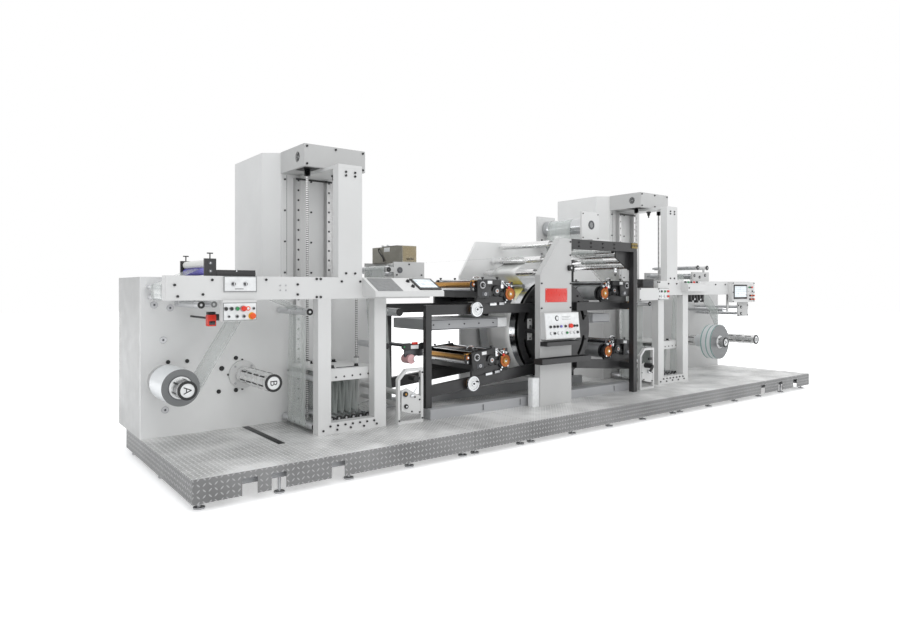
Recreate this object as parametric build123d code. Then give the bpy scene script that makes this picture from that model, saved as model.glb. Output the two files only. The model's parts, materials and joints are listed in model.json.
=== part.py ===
from build123d import *
import math
import os

# Rotary label press with an unwinder, two web accumulators, four print units
# round one impression drum, and a rewinder, all on a raised steel platform.
# Millimetres. x runs along the machine from its left end, y from the front edge
# of the platform to the back, z up from the floor. The written parts are moved
# so that the origin is on the floor under the middle of the whole machine.

# Clearances
SEAT = 0.3
RUNNING = 0.05

# Platform
UNWINDER_MODULE = 2456
STEP_MODULE = 715
PRESS_MODULE = 2529
REWINDER_MODULE = 3300
PLATFORM_DEPTH = 2024
MACHINE_DEPTH = 2345
FOOT_HEIGHT = 55
SKIRT_HEIGHT = 170
DECK_PLATE = 6
SKIRT_PLATE = 5
SEAM = 3
MODULE_FEET = (5, 2, 5, 6)
FOOT_INSET = 72
FOOT_PAD_R = 40
FOOT_PAD_THICKNESS = 12
FOOT_STUD_R = 12
BASE_BEAM_WIDTH = 60
BASE_BEAM_HEIGHT = 100
BASE_BEAM_EDGE = 60
BEAM_END_GAP = 10
NOTCH_WIDTH = 112
NOTCH_HEIGHT = 119
LEFT_NOTCHES = (396, 612, 1091)
RIGHT_NOTCHES = (1381, 888, 446)

# Walls and cabinets
TABLE_TOP = 1605
WALL_FRONT = 1470
WALL_THICKNESS = 25
UNWINDER_WALL_LENGTH_FROM_JOINT = -36
TOWER_TOP = 2815
HOUSING_WIDTH = 956
HOUSING_OFFSET = 137
HOUSING_CHAMFER_X = 144
HOUSING_CHAMFER_Y = 106

# Table beams
BEAM_FRONT = 672
BEAM_DEPTH = 100
BEAM_HEIGHT = 191
LEFT_BEAM_END_FROM_JOINT = -16
RIGHT_BEAM_END_FROM_END = -466
CROSS_MEMBER_WIDTH = 100
CROSS_MEMBER_HEIGHT = 60
FIRST_MEMBER = 303
MEMBER_BEFORE_TOWER = 230
TREATER_MEMBER_INSET = 100
MEMBER_AFTER_TOWER = 928
LAST_MEMBER_INSET = 234

# Accumulators
LEFT_ACCUMULATOR_FROM_JOINT = -1206
RIGHT_ACCUMULATOR_FROM_JOINT = 472
PORTAL_WIDTH = 690
LEG_WIDTH = 125
SILL_HEIGHT = 100
COLUMN_OFFSET = 195
COLUMN_WIDTH = 240
HEAD_HEIGHT = 204
CAP_PLATE = 31
HEAD_WIDTH = 628
HEAD_FRONT = 950
HEAD_PORT_R = 48
HEAD_PORT_DEPTH = 20
SCREW_Y = 1090
SCREW_R = 12
SCREW_OFFSETS = (95, 612)
SCREW_BLOCK = 50
SCREW_BLOCK_HEIGHT = 45
RAIL_WIDTH = 45
RAIL_DEPTH = 40
RAIL_PACKER = 30
RAIL_OFFSETS = (150, 476)
RAIL_BOTTOM = 400
RUNNER_WIDTH = 70
FESTOON_ROLLER_R = 30
FESTOON_ROLLERS = 6
FESTOON_PITCH = 74
FESTOON_START = 190
FESTOON_Z = 330
ENTRY_ROLLER_OFFSET = 32
ENTRY_ROLLER_Z = 283
ENTRY_ROLLER_R = 35
GUIDE_ROLLER_OFFSET = -22
GUIDE_ROLLER_Z = 1299
ROLLER_FRONT = 792
ROLLER_BACK = 1440
JOURNAL_R = 10

# Accumulator carriages
CARRIAGE_LOW = 673
CARRIAGE_PLATE_HEIGHT = 108
CARRIAGE_PLATE = 14
CARRIAGE_TOP_PLATE = 20
CARRIAGE_START = 70
CARRIAGE_END = 650
CARRIAGE_FRONT = 782
CARRIAGE_BACK = 1392
CARRIAGE_NUT_R = 28
CARRIAGE_NUT_HEIGHT = 55

# Unwinder
MANDREL_R = 75
MANDREL_FRONT = 745
MANDREL_BACK = 1438
MANDREL_JOURNAL_R = 40
FLANGE_R = 130
FLANGE_THICKNESS = 26
MANDREL_SLOTS = 6
MANDREL_SLOT_TURN = 40
MANDREL_SLOT_WIDTH = 10
MANDREL_SLOT_DEPTH = 4
UNWIND_A = (178, 715)
UNWIND_B_BEFORE_TOWER = 375
UNWIND_B_Z = 712
REWIND_SPACING = 900
REWIND_B_INSET = 140
REWIND_Z = 695
REEL_R = 148
REEL_FRONT = 920
REEL_BACK = 1300
ROLL_R = 257
ROLL_FRONT = 833
ROLL_BACK = 1010
ROLL_CORE_R = 95
ROLL_CORE_BACK = 1200
INFEED_ROLLERS = ((60, 1522, 20), (74, 1436, 25))
INFEED_ROLLER_FRONT = 966
IDLER_FRONT = 785
LEFT_IDLERS = ((295, 1375, 28), (395, 1378, 25), (711, 1357, 25))

# Nip unit on the left table
NIP_START = 307
NIP_WIDTH = 93
NIP_HEIGHT = 139
NIP_PLATE = 20
NIP_FRONT = 742
NIP_BACK = 1400
NIP_ROLLER_R = 31
NIP_SCREW_R = 5
NIP_SCREW_HEIGHT = 42
NIP_BAR_END = 719
NIP_BAR_HEIGHT = 50
NIP_BAR_DEPTH = 30

# Switch plates and panels
SWITCH_PLATE = (431, 700, 1478, 1605)
SWITCH_PLATE_THICKNESS = 8
BUTTON_BOX = (417, 692, 1246)
BUTTON_BOX_FRONT = 640
BUTTON_BOX_DEPTH = 62
SENSOR_X = 416
SENSOR_Y = 900
SENSOR_Z = 1205
SENSOR_SIZE = (60, 50, 110)
SENSOR_ROD_R = 9

# Left console
CONSOLE_START_FROM_JOINT = -767
CONSOLE_END_FROM_JOINT = -11
CONSOLE_FRONT = 443
CONSOLE_LIP_TOP = 1479
CONSOLE_BOTTOM = 1431

# Surface treater on the left table
TREATER_START_FROM_JOINT = -284
TREATER_END_FROM_JOINT = 81
TREATER_FRONT = 900
TREATER_PLATE = 20
TREATER_PLATE_HEIGHT = 163
TREATER_BOX_START_FROM_JOINT = -186
TREATER_BOX_END_FROM_JOINT = -16
TREATER_BOX_HEIGHT = 163
TREATER_ROLLER_R = 55
TREATER_NOSE = 87
TREATER_NOSE_LOW = 60
TREATER_NOSE_HEIGHT = 50
TREATER_IDLER_R = 37
TREATER_IDLER_INSET = 27

# Impression drum and its frame
DRUM_FROM_JOINT = 1864
DRUM_Z = 1032
DRUM_R = 600
DRUM_RIM = 25
DRUM_FRONT = 830
DRUM_BACK = 1440
DRUM_WEB = 20
DRUM_HUB_R = 110
DRUM_SHAFT_R = 60
DISC_R = 590
DISC_FRONT = 775
DISC_THICKNESS = 25
POST_START_FROM_DRUM = -525
POST_END_FROM_DRUM = -28
POST_FRONT = 505
POST_THICKNESS = 80
POST_TOP = 2065
POST_SHOULDER_Z = 1655
POST_SHOULDER_X_FROM_DRUM = -215
BOSS_R = 110
DISC_SLOT_R = 500
DISC_SLOT_WIDTH = 44
DISC_SLOT_ARC = 24
DISC_SLOT_STARTS = (13, 143, 193, 323)
SPACER_R = 25
SPACERS = ((-170, 368), (-170, -332), (-470, 0))
REAR_FRAME_FRONT = 1510
REAR_FRAME_THICKNESS = 30
REAR_FRAME_HALF = 835
REAR_FRAME_TOP_HALF = 586
PRESS_BASE_START_FROM_DRUM = -1893
PRESS_BASE_END_FROM_DRUM = 1240
PRESS_BASE_HEIGHT = 100
FRONT_BASE_FRONT = 640
BASE_SLOTS = (-1223, -697, 895)
BASE_SLOT_WIDTH = 24
BASE_SLOT_DEPTH = 15
BASE_SLOT_INSET = 20
GANTRY_END_FROM_DRUM = 1170
GANTRY_HEIGHT = 110
POLE_SIZE = 68
POLE_DEPTH = 70

# Print rails
RAIL_BAR_DEPTH = 50
FRONT_RAIL_Y = 715
REAR_RAIL_Y = 1450
REAR_RAIL_DEPTH = 60
RAIL_REACH = 300
LEFT_RAIL_END_FROM_DRUM = -1823
RIGHT_RAIL_END_FROM_DRUM = 1380
UPPER_RAIL_TOP = 1340
UPPER_RAIL_HEIGHT = 100
LOWER_RAIL_TOP = 598
LOWER_RAIL_X_FROM_DRUM = -1178
LOWER_RAIL_HEIGHT = 110
LOWER_RAIL_ANGLE = 4.8
UPRIGHT_WIDTH = 70
PAD_LENGTH = 55
PAD_HEIGHT = 70

# Print units, sized along their rail (u) and square to it (v)
UNIT_START_FROM_DRUM = -1240
UNIT_PLATE = 30
UNIT_FRONT = 725
UNIT_BACK = 1460
UNIT_HEIGHT = 261
UNIT_NOSE_GAP = 15
UNIT_NOSE_HEIGHT = 160
UNIT_SHOULDER_U = 345
TIE_BAR_R = 12
KNOB_R = 14
KNOB_NECK = 8
KNOB_HEIGHT = 24
KNOB_PLACES = (95, 300)
PLATE_CYLINDER_U = 450
PLATE_CYLINDER_V = 105
PLATE_CYLINDER_R = 85
FORM_ROLLER_R = 45
OSCILLATOR_R = 55
RIDER_R = 32
DUCTOR_R = 28
FOUNTAIN_R = 45
NIP_GAP = 1
UNIT_JOURNAL_R = 15
UNIT_ROLLER_INSET = 10
LOWER_UNIT_SHIFT = -60
GEAR_THICKNESS = 20
GEAR_MODULE = 5
GEAR_ROOT = 1.15
GEAR_TIP = 0.85
ROOT_SHARE = 0.31
TIP_SHARE = 0.13
GEAR_HUB_R = 16
GEAR_HUB = 4
PLATE_TEETH = 34
FIRST_IDLER_TEETH = 11
OSCILLATOR_TEETH = 22
SECOND_IDLER_TEETH = 12
FOUNTAIN_TEETH = 18

# Handwheels
HANDWHEEL_R = 75
HANDWHEEL_RIM = 12
HANDWHEEL_THICKNESS = 26
HANDWHEEL_FRONT = 650
HANDWHEEL_SHAFT_R = 10
UPPER_HANDWHEEL_X_FROM_DRUM = -1291
LOWER_HANDWHEEL_X_FROM_DRUM = -1338

# Guide rollers of the press
GUIDE_R = 37
GUIDE_STEPS = (470, 245, 58)
GUIDE_EDGE_INSET = 30
ROLLER_INSET = 60
HANGER_ROLLERS = ((880, 1965), (948, 1915), (1075, 1850), (1135, 1780))
HANGER_EDGE = 38
HANGER_TAB = 55
HANGER_DROP = 75
HANGER_R = 32
HANGER_PLATE = 15
HANGER_LOW = 1730

# Chill roller
CHILL_START_FROM_DRUM = 337
CHILL_WIDTH = 315
CHILL_HEIGHT = 339
CHILL_PLATE = 25
CHILL_FRONT = 672
CHILL_BACK = 1400
CHILL_BASE = 15
CHILL_X_FROM_DRUM = 510
CHILL_Z = 2265
CHILL_R = 95
CHILL_JOURNAL_R = 30

# Operator panel and trays on the post
PANEL_START_FROM_DRUM = -509
PANEL_END_FROM_DRUM = 37
PANEL_LOW = 952
PANEL_HEIGHT = 287
PANEL_FRONT = 430
PANEL_LEAN = 30
TRAYS = ((-525, 13, 400, 880, 45), (-620, 160, 380, 690, 60))
TRAY_WALL = 4
JUNCTION_BOX_SIZE = (100, 65, 309)

# Cable boxes between the units
CABLE_BOX_GAP = 60
CABLE_BOX_DRUM_GAP = 720
CABLE_BOX_FRONT = 830
CABLE_BOX_DROP = 50
CABLE_BOX_HEIGHT = 110

# Web sensor frames
FRAME_BAR = 26
FRAME_DEPTH = 40
FRAME_TOP = 743
FRAME_CORNER = 90
FRAME_WIDTH = 290
LEFT_FRAME_INSET = 405
LEFT_FRAME_Y = 640
RIGHT_FRAME_INSET = 76
RIGHT_FRAME_Y = 555
SENSOR_BRACKET = ((44, 125), (44, 318), (100, 338), (270, 242), (270, 75), (130, 95))
SENSOR_BRACKET_THICKNESS = 12
SENSOR_BRACKET_INSET = 5
SENSOR_FRAME_ROLLERS = ((84, 282, 26), (92, 165, 22))
SENSOR_ROLLER_GAP = 15

# Rewinder
CONTROL_BOX_BEFORE_TOWER = 500
CONTROL_BOX_WIDTH = 416
CONTROL_BOX_FRONT = 600
REWIND_PANEL_WIDTH = 277
REWIND_PANEL_FRONT = 640
REWIND_PANEL_LOW = 1352
REWIND_PANEL_TOP = 1510
REWIND_CONSOLE_START_FROM_END = -1097
REWIND_CONSOLE_FRONT = 600
REWIND_CONSOLE_LOW = 1298
REWIND_CONSOLE_TOP = 1596
WINDER_START_FROM_JOINT = 1300
WINDER_END_FROM_JOINT = 1720
WINDER_HEIGHT = 130
WINDER_ROLLER_R = 28
WINDER_PLATE_INSET = 20
WINDER_ROLLERS = ((50, 80), (180, 60), (320, 85))
UPPER_ARM_START = 170
UPPER_ARM_LENGTH = 300
UPPER_ARM_HEIGHT = 24
UPPER_ARM_RISE = 183
UPPER_ARM_THICKNESS = 15
UPPER_ARM_POST = (350, 380)
UPPER_ARM_Y = 735
UPPER_ARM_ROLLER_R = 24
UPPER_ARM_ROLLER_INSET = 30
TILTED_CONSOLE = (518, 1028)
TILTED_CONSOLE_SECTION = ((672, 1600), (560, 1556), (560, 1466), (672, 1466))
HANGING_PLATE_BEFORE_END = 297
HANGING_PLATE_Y = 700
HANGING_PLATE_THICKNESS = 15
HANGING_PLATE_DROP = 335
HANGING_ROLLERS = ((-210, 195), (-210, 292))
OUTFEED_ROLLER_BEFORE_END = 584
OUTFEED_ROLLER_DROP = 229
OUTFEED_ROLLER_R = 30
OUTFEED_HANGER_WIDTH = 46
HANGING_ROLLER_R = 24

# Places and sizes that follow
STEP_START = UNWINDER_MODULE
PRESS_START = STEP_START + STEP_MODULE
REWINDER_START = PRESS_START + PRESS_MODULE
LENGTH = REWINDER_START + REWINDER_MODULE
MODULE_JOINTS = (STEP_START, PRESS_START, REWINDER_START)
DRUM_X = UNWINDER_MODULE + DRUM_FROM_JOINT
POST_START = DRUM_X + POST_START_FROM_DRUM
POST_END = DRUM_X + POST_END_FROM_DRUM
POST_SHOULDER_X = DRUM_X + POST_SHOULDER_X_FROM_DRUM
PRESS_BASE_START = DRUM_X + PRESS_BASE_START_FROM_DRUM
PRESS_BASE_END = DRUM_X + PRESS_BASE_END_FROM_DRUM
GANTRY_END = DRUM_X + GANTRY_END_FROM_DRUM
LEFT_RAIL_END = DRUM_X + LEFT_RAIL_END_FROM_DRUM
RIGHT_RAIL_END = DRUM_X + RIGHT_RAIL_END_FROM_DRUM
LOWER_RAIL_X = DRUM_X + LOWER_RAIL_X_FROM_DRUM
UNIT_START = DRUM_X + UNIT_START_FROM_DRUM
UPPER_HANDWHEEL_X = DRUM_X + UPPER_HANDWHEEL_X_FROM_DRUM
LOWER_HANDWHEEL_X = DRUM_X + LOWER_HANDWHEEL_X_FROM_DRUM
CHILL_START = DRUM_X + CHILL_START_FROM_DRUM
CHILL_X = DRUM_X + CHILL_X_FROM_DRUM
PANEL_START = DRUM_X + PANEL_START_FROM_DRUM
PANEL_END = DRUM_X + PANEL_END_FROM_DRUM
UNWINDER_WALL_LENGTH = UNWINDER_MODULE + UNWINDER_WALL_LENGTH_FROM_JOINT
LEFT_BEAM_END = UNWINDER_MODULE + LEFT_BEAM_END_FROM_JOINT
LEFT_ACCUMULATOR = UNWINDER_MODULE + LEFT_ACCUMULATOR_FROM_JOINT
CONSOLE_START = UNWINDER_MODULE + CONSOLE_START_FROM_JOINT
CONSOLE_END = UNWINDER_MODULE + CONSOLE_END_FROM_JOINT
TREATER_START = UNWINDER_MODULE + TREATER_START_FROM_JOINT
TREATER_END = UNWINDER_MODULE + TREATER_END_FROM_JOINT
TREATER_BOX_START = UNWINDER_MODULE + TREATER_BOX_START_FROM_JOINT
TREATER_BOX_END = UNWINDER_MODULE + TREATER_BOX_END_FROM_JOINT
RIGHT_ACCUMULATOR = REWINDER_START + RIGHT_ACCUMULATOR_FROM_JOINT
WINDER_START = REWINDER_START + WINDER_START_FROM_JOINT
WINDER_END = REWINDER_START + WINDER_END_FROM_JOINT
RIGHT_BEAM_END = LENGTH + RIGHT_BEAM_END_FROM_END
REWIND_CONSOLE_START = LENGTH + REWIND_CONSOLE_START_FROM_END
NOTCHES = LEFT_NOTCHES + tuple(LENGTH - inset for inset in RIGHT_NOTCHES)
CROSS_MEMBERS = (FIRST_MEMBER, LEFT_ACCUMULATOR - MEMBER_BEFORE_TOWER, TREATER_START + TREATER_MEMBER_INSET,
                 RIGHT_ACCUMULATOR + MEMBER_AFTER_TOWER, RIGHT_BEAM_END - LAST_MEMBER_INSET)
UNWIND_B = (LEFT_ACCUMULATOR - UNWIND_B_BEFORE_TOWER, UNWIND_B_Z)
REWIND_B = (LENGTH - REWIND_B_INSET, REWIND_Z)
REWIND_A = (LENGTH - REWIND_B_INSET - REWIND_SPACING, REWIND_Z)
COLUMN_TOP = TOWER_TOP - HEAD_HEIGHT - CAP_PLATE
DECK = FOOT_HEIGHT + SKIRT_HEIGHT
BEAM_LOW = TABLE_TOP - BEAM_HEIGHT
BEAM_BACK = BEAM_FRONT + BEAM_DEPTH
WALL_BACK = WALL_FRONT + WALL_THICKNESS
HEAD_LOW = COLUMN_TOP + CAP_PLATE
BASE_TOP = DECK + PRESS_BASE_HEIGHT
REWINDER_WALL_START = RIGHT_ACCUMULATOR - HOUSING_OFFSET
UNWINDER_CABINET_LENGTH = LEFT_ACCUMULATOR - HOUSING_OFFSET + HOUSING_WIDTH
RAIL_FRONT = WALL_FRONT - RAIL_PACKER - RAIL_DEPTH
REAR_FRAME_BACK = REAR_FRAME_FRONT + REAR_FRAME_THICKNESS
UNIT_INSIDE_BACK = UNIT_BACK
UNIT_INSIDE_FRONT = UNIT_FRONT + UNIT_PLATE
RAIL_SLOPE = math.tan(math.radians(LOWER_RAIL_ANGLE))
ACCUMULATORS = {"left": LEFT_ACCUMULATOR, "right": RIGHT_ACCUMULATOR}


# Small helpers for plain shapes
def block(x0, x1, y0, y1, z0, z1):
    middle = Pos((x0 + x1) / 2, (y0 + y1) / 2, (z0 + z1) / 2)
    return middle * Box(x1 - x0, y1 - y0, z1 - z0)


def rod(x, z, r, y0, y1):
    return Pos(x, (y0 + y1) / 2, z) * Rot(90, 0, 0) * Cylinder(r, y1 - y0)


def upright(x, y, r, z0, z1):
    return Pos(x, y, (z0 + z1) / 2) * Cylinder(r, z1 - z0)


def plate(points, y0, y1):
    """A plate with its outline in x and z, between two depths."""
    face = make_face(Polyline(*[(x, y0, z) for x, z in points], close=True))
    return extrude(face, amount=y1 - y0, dir=(0, 1, 0))


def bar(points, x0, x1):
    """A bar with its section in y and z, between two places along x."""
    face = make_face(Polyline(*[(x0, y, z) for y, z in points], close=True))
    return extrude(face, amount=x1 - x0, dir=(1, 0, 0))


def roller(x, z, r, y0, y1, front, back, journal=JOURNAL_R):
    """A roller body with journals that reach the plates at front and back."""
    return rod(x, z, r, y0, y1) + rod(x, z, journal, front, back)


def mirror_x(shape):
    return mirror(shape, about=Plane(origin=(DRUM_X, 0, 0), z_dir=(1, 0, 0)))


def save(name, shapes):
    """Write one part, moved so that the origin is under the machine's middle."""
    if not isinstance(shapes, (list, tuple)):
        shapes = [shapes]
    solids = [solid for shape in shapes for solid in shape.solids()]
    body = solids[0] if len(solids) == 1 else Compound(children=solids)
    export_step(Pos(-LENGTH / 2, -MACHINE_DEPTH / 2, 0) * body, f"parts/{name}.step")


# Platform
def modules():
    edges = (0,) + MODULE_JOINTS + (LENGTH,)
    return list(zip(edges[:-1], edges[1:], MODULE_FEET))


def foot_places():
    places = []
    for start, end, count in modules():
        step = (end - start - 2 * FOOT_INSET) / (count - 1)
        places += [start + FOOT_INSET + step * i for i in range(count)]
    return places


def beam_rows():
    front = BASE_BEAM_EDGE
    back = PLATFORM_DEPTH - BASE_BEAM_EDGE - BASE_BEAM_WIDTH
    return (front, (front + back) / 2, back)


def deck_plates():
    top = DECK
    low = DECK - DECK_PLATE
    return [block(a + SEAM / 2, b - SEAM / 2, 0, PLATFORM_DEPTH, low, top) for a, b, _ in modules()]


def front_skirt():
    plates = []
    for start, end, _ in modules():
        sheet = block(start + SEAM / 2, end - SEAM / 2, 0, SKIRT_PLATE, FOOT_HEIGHT, DECK - DECK_PLATE)
        for x in NOTCHES:
            if start < x < end:
                half = NOTCH_WIDTH / 2
                sheet -= block(x - half, x + half, -1, SKIRT_PLATE + 1, 0, FOOT_HEIGHT + NOTCH_HEIGHT)
        plates.append(sheet)
    return plates


def back_and_end_skirts():
    low = FOOT_HEIGHT
    top = DECK - DECK_PLATE
    back = PLATFORM_DEPTH - SKIRT_PLATE
    inset = SEAM / 2
    sheets = [block(a + inset, b - inset, back, PLATFORM_DEPTH, low, top) for a, b, _ in modules()]
    for x in (inset, LENGTH - SKIRT_PLATE - inset):
        sheets.append(block(x, x + SKIRT_PLATE, SKIRT_PLATE, back - SEAT, low, top))
    return sheets


def base_frame():
    """Long beams under each platform module, with cross beams at its ends."""
    low = DECK - DECK_PLATE - BASE_BEAM_HEIGHT
    top = DECK - DECK_PLATE
    half = BASE_BEAM_WIDTH / 2
    rows = beam_rows()
    beams = []
    for start, end, _ in modules():
        for y in rows:
            beams.append(block(start + BEAM_END_GAP, end - BEAM_END_GAP, y, y + BASE_BEAM_WIDTH, low, top))
        for x in (start + FOOT_INSET, end - FOOT_INSET):
            for near, far in zip(rows[:-1], rows[1:]):
                y0 = near + BASE_BEAM_WIDTH + SEAT
                beams.append(block(x - half, x + half, y0, far - SEAT, low, top))
    return beams


def levelling_feet():
    seat = DECK - DECK_PLATE - BASE_BEAM_HEIGHT
    feet = []
    for x in foot_places():
        for y in beam_rows():
            middle = y + BASE_BEAM_WIDTH / 2
            pad = upright(x, middle, FOOT_PAD_R, 0, FOOT_PAD_THICKNESS)
            feet.append(pad + upright(x, middle, FOOT_STUD_R, 0, seat))
    return feet


# Walls, cabinets and towers
def wall(start, end):
    return block(start, end, WALL_FRONT, WALL_BACK, DECK, TABLE_TOP)


def cabinet(start, end):
    return block(start, end, WALL_BACK, MACHINE_DEPTH, DECK, TABLE_TOP)


def tower_housing(accumulator):
    left = accumulator - HOUSING_OFFSET
    right = left + HOUSING_WIDTH
    near = WALL_BACK
    outline = [
        (left, MACHINE_DEPTH), (left, near + HOUSING_CHAMFER_Y), (left + HOUSING_CHAMFER_X, near),
        (right - HOUSING_CHAMFER_X, near), (right, near + HOUSING_CHAMFER_Y), (right, MACHINE_DEPTH),
    ]
    face = make_face(Polyline(*[(x, y, TABLE_TOP) for x, y in outline], close=True))
    return extrude(face, amount=TOWER_TOP - TABLE_TOP, dir=(0, 0, 1))


def tower_back_plate(accumulator):
    """The wall carried up between the accumulator's rails."""
    left = accumulator - HOUSING_OFFSET + HOUSING_CHAMFER_X
    right = accumulator - HOUSING_OFFSET + HOUSING_WIDTH - HOUSING_CHAMFER_X
    return block(left, right, WALL_FRONT, WALL_BACK, TABLE_TOP, TOWER_TOP)


def tower_head(accumulator):
    head = block(accumulator, accumulator + HEAD_WIDTH, HEAD_FRONT, WALL_FRONT, HEAD_LOW, TOWER_TOP)
    port_z = (HEAD_LOW + TOWER_TOP) / 2
    port_y = HEAD_FRONT + HEAD_PORT_R * 3
    port = Pos(accumulator, port_y, port_z) * Rot(0, 90, 0) * Cylinder(HEAD_PORT_R, 2 * HEAD_PORT_DEPTH)
    return head - port


def tower_columns():
    """A column on the front beam of each accumulator, with the cap plate that carries the head."""
    pieces = []
    for x in ACCUMULATORS.values():
        start = x + COLUMN_OFFSET
        end = start + COLUMN_WIDTH
        pieces.append(block(start, end, BEAM_FRONT, BEAM_BACK, TABLE_TOP, COLUMN_TOP - SEAT))
        pieces.append(block(start, end, BEAM_FRONT, WALL_FRONT, COLUMN_TOP, HEAD_LOW))
    return pieces


# Portals, beams and cross members
def portal_legs():
    legs = []
    for x in ACCUMULATORS.values():
        for start in (x, x + PORTAL_WIDTH - LEG_WIDTH):
            legs.append(block(start, start + LEG_WIDTH, BEAM_FRONT, BEAM_BACK, DECK, BEAM_LOW))
    return legs


def portal_sills():
    sills = []
    for x in ACCUMULATORS.values():
        start = x + LEG_WIDTH
        end = x + PORTAL_WIDTH - LEG_WIDTH
        sills.append(block(start + SEAT, end - SEAT, BEAM_FRONT, BEAM_BACK, DECK, DECK + SILL_HEIGHT))
    return sills


def table_beam(start, end):
    return block(start, end, BEAM_FRONT, BEAM_BACK, BEAM_LOW, TABLE_TOP)


def table_cross_members():
    members = []
    for x in CROSS_MEMBERS:
        low = TABLE_TOP - CROSS_MEMBER_HEIGHT
        members.append(block(x, x + CROSS_MEMBER_WIDTH, BEAM_BACK + SEAT, WALL_FRONT, low, TABLE_TOP))
    return members


# Accumulator rollers, rails and screws
def festoon_rollers():
    rollers = []
    for x in ACCUMULATORS.values():
        for i in range(FESTOON_ROLLERS):
            place = x + FESTOON_START + FESTOON_PITCH * i
            rollers.append(roller(place, FESTOON_Z, FESTOON_ROLLER_R, ROLLER_FRONT, ROLLER_BACK,
                                  ROLLER_FRONT - 8, WALL_FRONT))
        for offset, z, r in ((ENTRY_ROLLER_OFFSET, ENTRY_ROLLER_Z, ENTRY_ROLLER_R),
                             (GUIDE_ROLLER_OFFSET, GUIDE_ROLLER_Z, FESTOON_ROLLER_R)):
            rollers.append(roller(x + offset, z, r, ROLLER_FRONT, ROLLER_BACK,
                                  ROLLER_FRONT - 8, WALL_FRONT))
    return rollers


def linear_rails():
    rails = []
    for x in ACCUMULATORS.values():
        for offset in RAIL_OFFSETS:
            left = x + offset - RAIL_WIDTH / 2
            rails.append(block(left, left + RAIL_WIDTH, RAIL_FRONT, WALL_FRONT, RAIL_BOTTOM, COLUMN_TOP - SEAT))
    return rails


def lift_screws():
    screws = []
    for x in ACCUMULATORS.values():
        for offset in SCREW_OFFSETS:
            place = x + offset
            half = SCREW_BLOCK / 2
            foot = block(place - half, place + half, SCREW_Y - half, SCREW_Y + half,
                         DECK, DECK + SCREW_BLOCK_HEIGHT)
            screws.append(foot + upright(place, SCREW_Y, SCREW_R, DECK, HEAD_LOW))
    return screws


def accumulator_carriage(accumulator):
    """Front and back plates, the plate over them and the nuts on the two screws."""
    start = accumulator + CARRIAGE_START
    end = accumulator + CARRIAGE_END
    low = CARRIAGE_LOW
    top = low + CARRIAGE_PLATE_HEIGHT
    under = top - CARRIAGE_TOP_PLATE
    frame = block(start, end, CARRIAGE_FRONT, CARRIAGE_BACK, under, top)
    frame += block(start, end, CARRIAGE_FRONT, CARRIAGE_FRONT + CARRIAGE_PLATE, low, under)
    frame += block(start, end, CARRIAGE_BACK - CARRIAGE_PLATE, CARRIAGE_BACK, low, under)
    for offset in SCREW_OFFSETS:
        place = accumulator + offset
        frame += upright(place, SCREW_Y, CARRIAGE_NUT_R, under, top + CARRIAGE_NUT_HEIGHT)
        frame -= upright(place, SCREW_Y, SCREW_R + RUNNING, low, top + CARRIAGE_NUT_HEIGHT)
    for offset in RAIL_OFFSETS:
        left = accumulator + offset - RUNNER_WIDTH / 2
        frame += block(left, left + RUNNER_WIDTH, CARRIAGE_BACK, RAIL_FRONT - SEAT, low, top)
    return frame


def carriage_rollers(accumulator):
    front = CARRIAGE_FRONT + CARRIAGE_PLATE
    back = CARRIAGE_BACK - CARRIAGE_PLATE
    z = CARRIAGE_LOW + FESTOON_ROLLER_R + 10
    rollers = []
    for i in range(FESTOON_ROLLERS - 1):
        place = accumulator + FESTOON_START + FESTOON_PITCH * (i + 0.5)
        rollers.append(roller(place, z, FESTOON_ROLLER_R, front + 8, back - 8, front, back))
    return rollers


# Reel shafts
def bearing_flanges():
    flanges = []
    for x, z in (UNWIND_A, UNWIND_B, REWIND_A, REWIND_B):
        ring = rod(x, z, FLANGE_R, WALL_FRONT - FLANGE_THICKNESS, WALL_FRONT)
        ring -= rod(x, z, MANDREL_JOURNAL_R + RUNNING, WALL_FRONT - FLANGE_THICKNESS - 1, WALL_FRONT + 1)
        flanges.append(ring)
    return flanges


def mandrel(place):
    x, z = place
    body = rod(x, z, MANDREL_R, MANDREL_FRONT, MANDREL_BACK)
    length = (MANDREL_BACK - MANDREL_FRONT) - 80
    for i in range(MANDREL_SLOTS):
        slot = Pos(MANDREL_R, 0, 0) * Box(2 * MANDREL_SLOT_DEPTH, length, MANDREL_SLOT_WIDTH)
        turned = Rot(0, 360 / MANDREL_SLOTS * i + MANDREL_SLOT_TURN, 0) * slot
        body -= Pos(x, (MANDREL_FRONT + MANDREL_BACK) / 2, z) * turned
    return body + rod(x, z, MANDREL_JOURNAL_R, MANDREL_BACK, WALL_FRONT - SEAT)


def wound_roll(place, r, front, back):
    x, z = place
    return rod(x, z, r, front, back) - rod(x, z, MANDREL_R + SEAT, front - 1, back + 1)


def finished_roll():
    x, z = REWIND_A
    roll = rod(x, z, ROLL_R, ROLL_FRONT, ROLL_BACK) + rod(x, z, ROLL_CORE_R, ROLL_BACK, ROLL_CORE_BACK)
    return roll - rod(x, z, MANDREL_R + SEAT, ROLL_FRONT - 1, ROLL_CORE_BACK + 1)


def infeed_rollers():
    return [roller(x, z, r, INFEED_ROLLER_FRONT, ROLLER_BACK, INFEED_ROLLER_FRONT, WALL_FRONT)
            for x, z, r in INFEED_ROLLERS]


def left_idlers():
    """Rollers under the left table that lead the web from the reel to the infeed rollers."""
    return [roller(x, z, r, IDLER_FRONT, ROLLER_BACK, IDLER_FRONT, WALL_FRONT) for x, z, r in LEFT_IDLERS]


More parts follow.
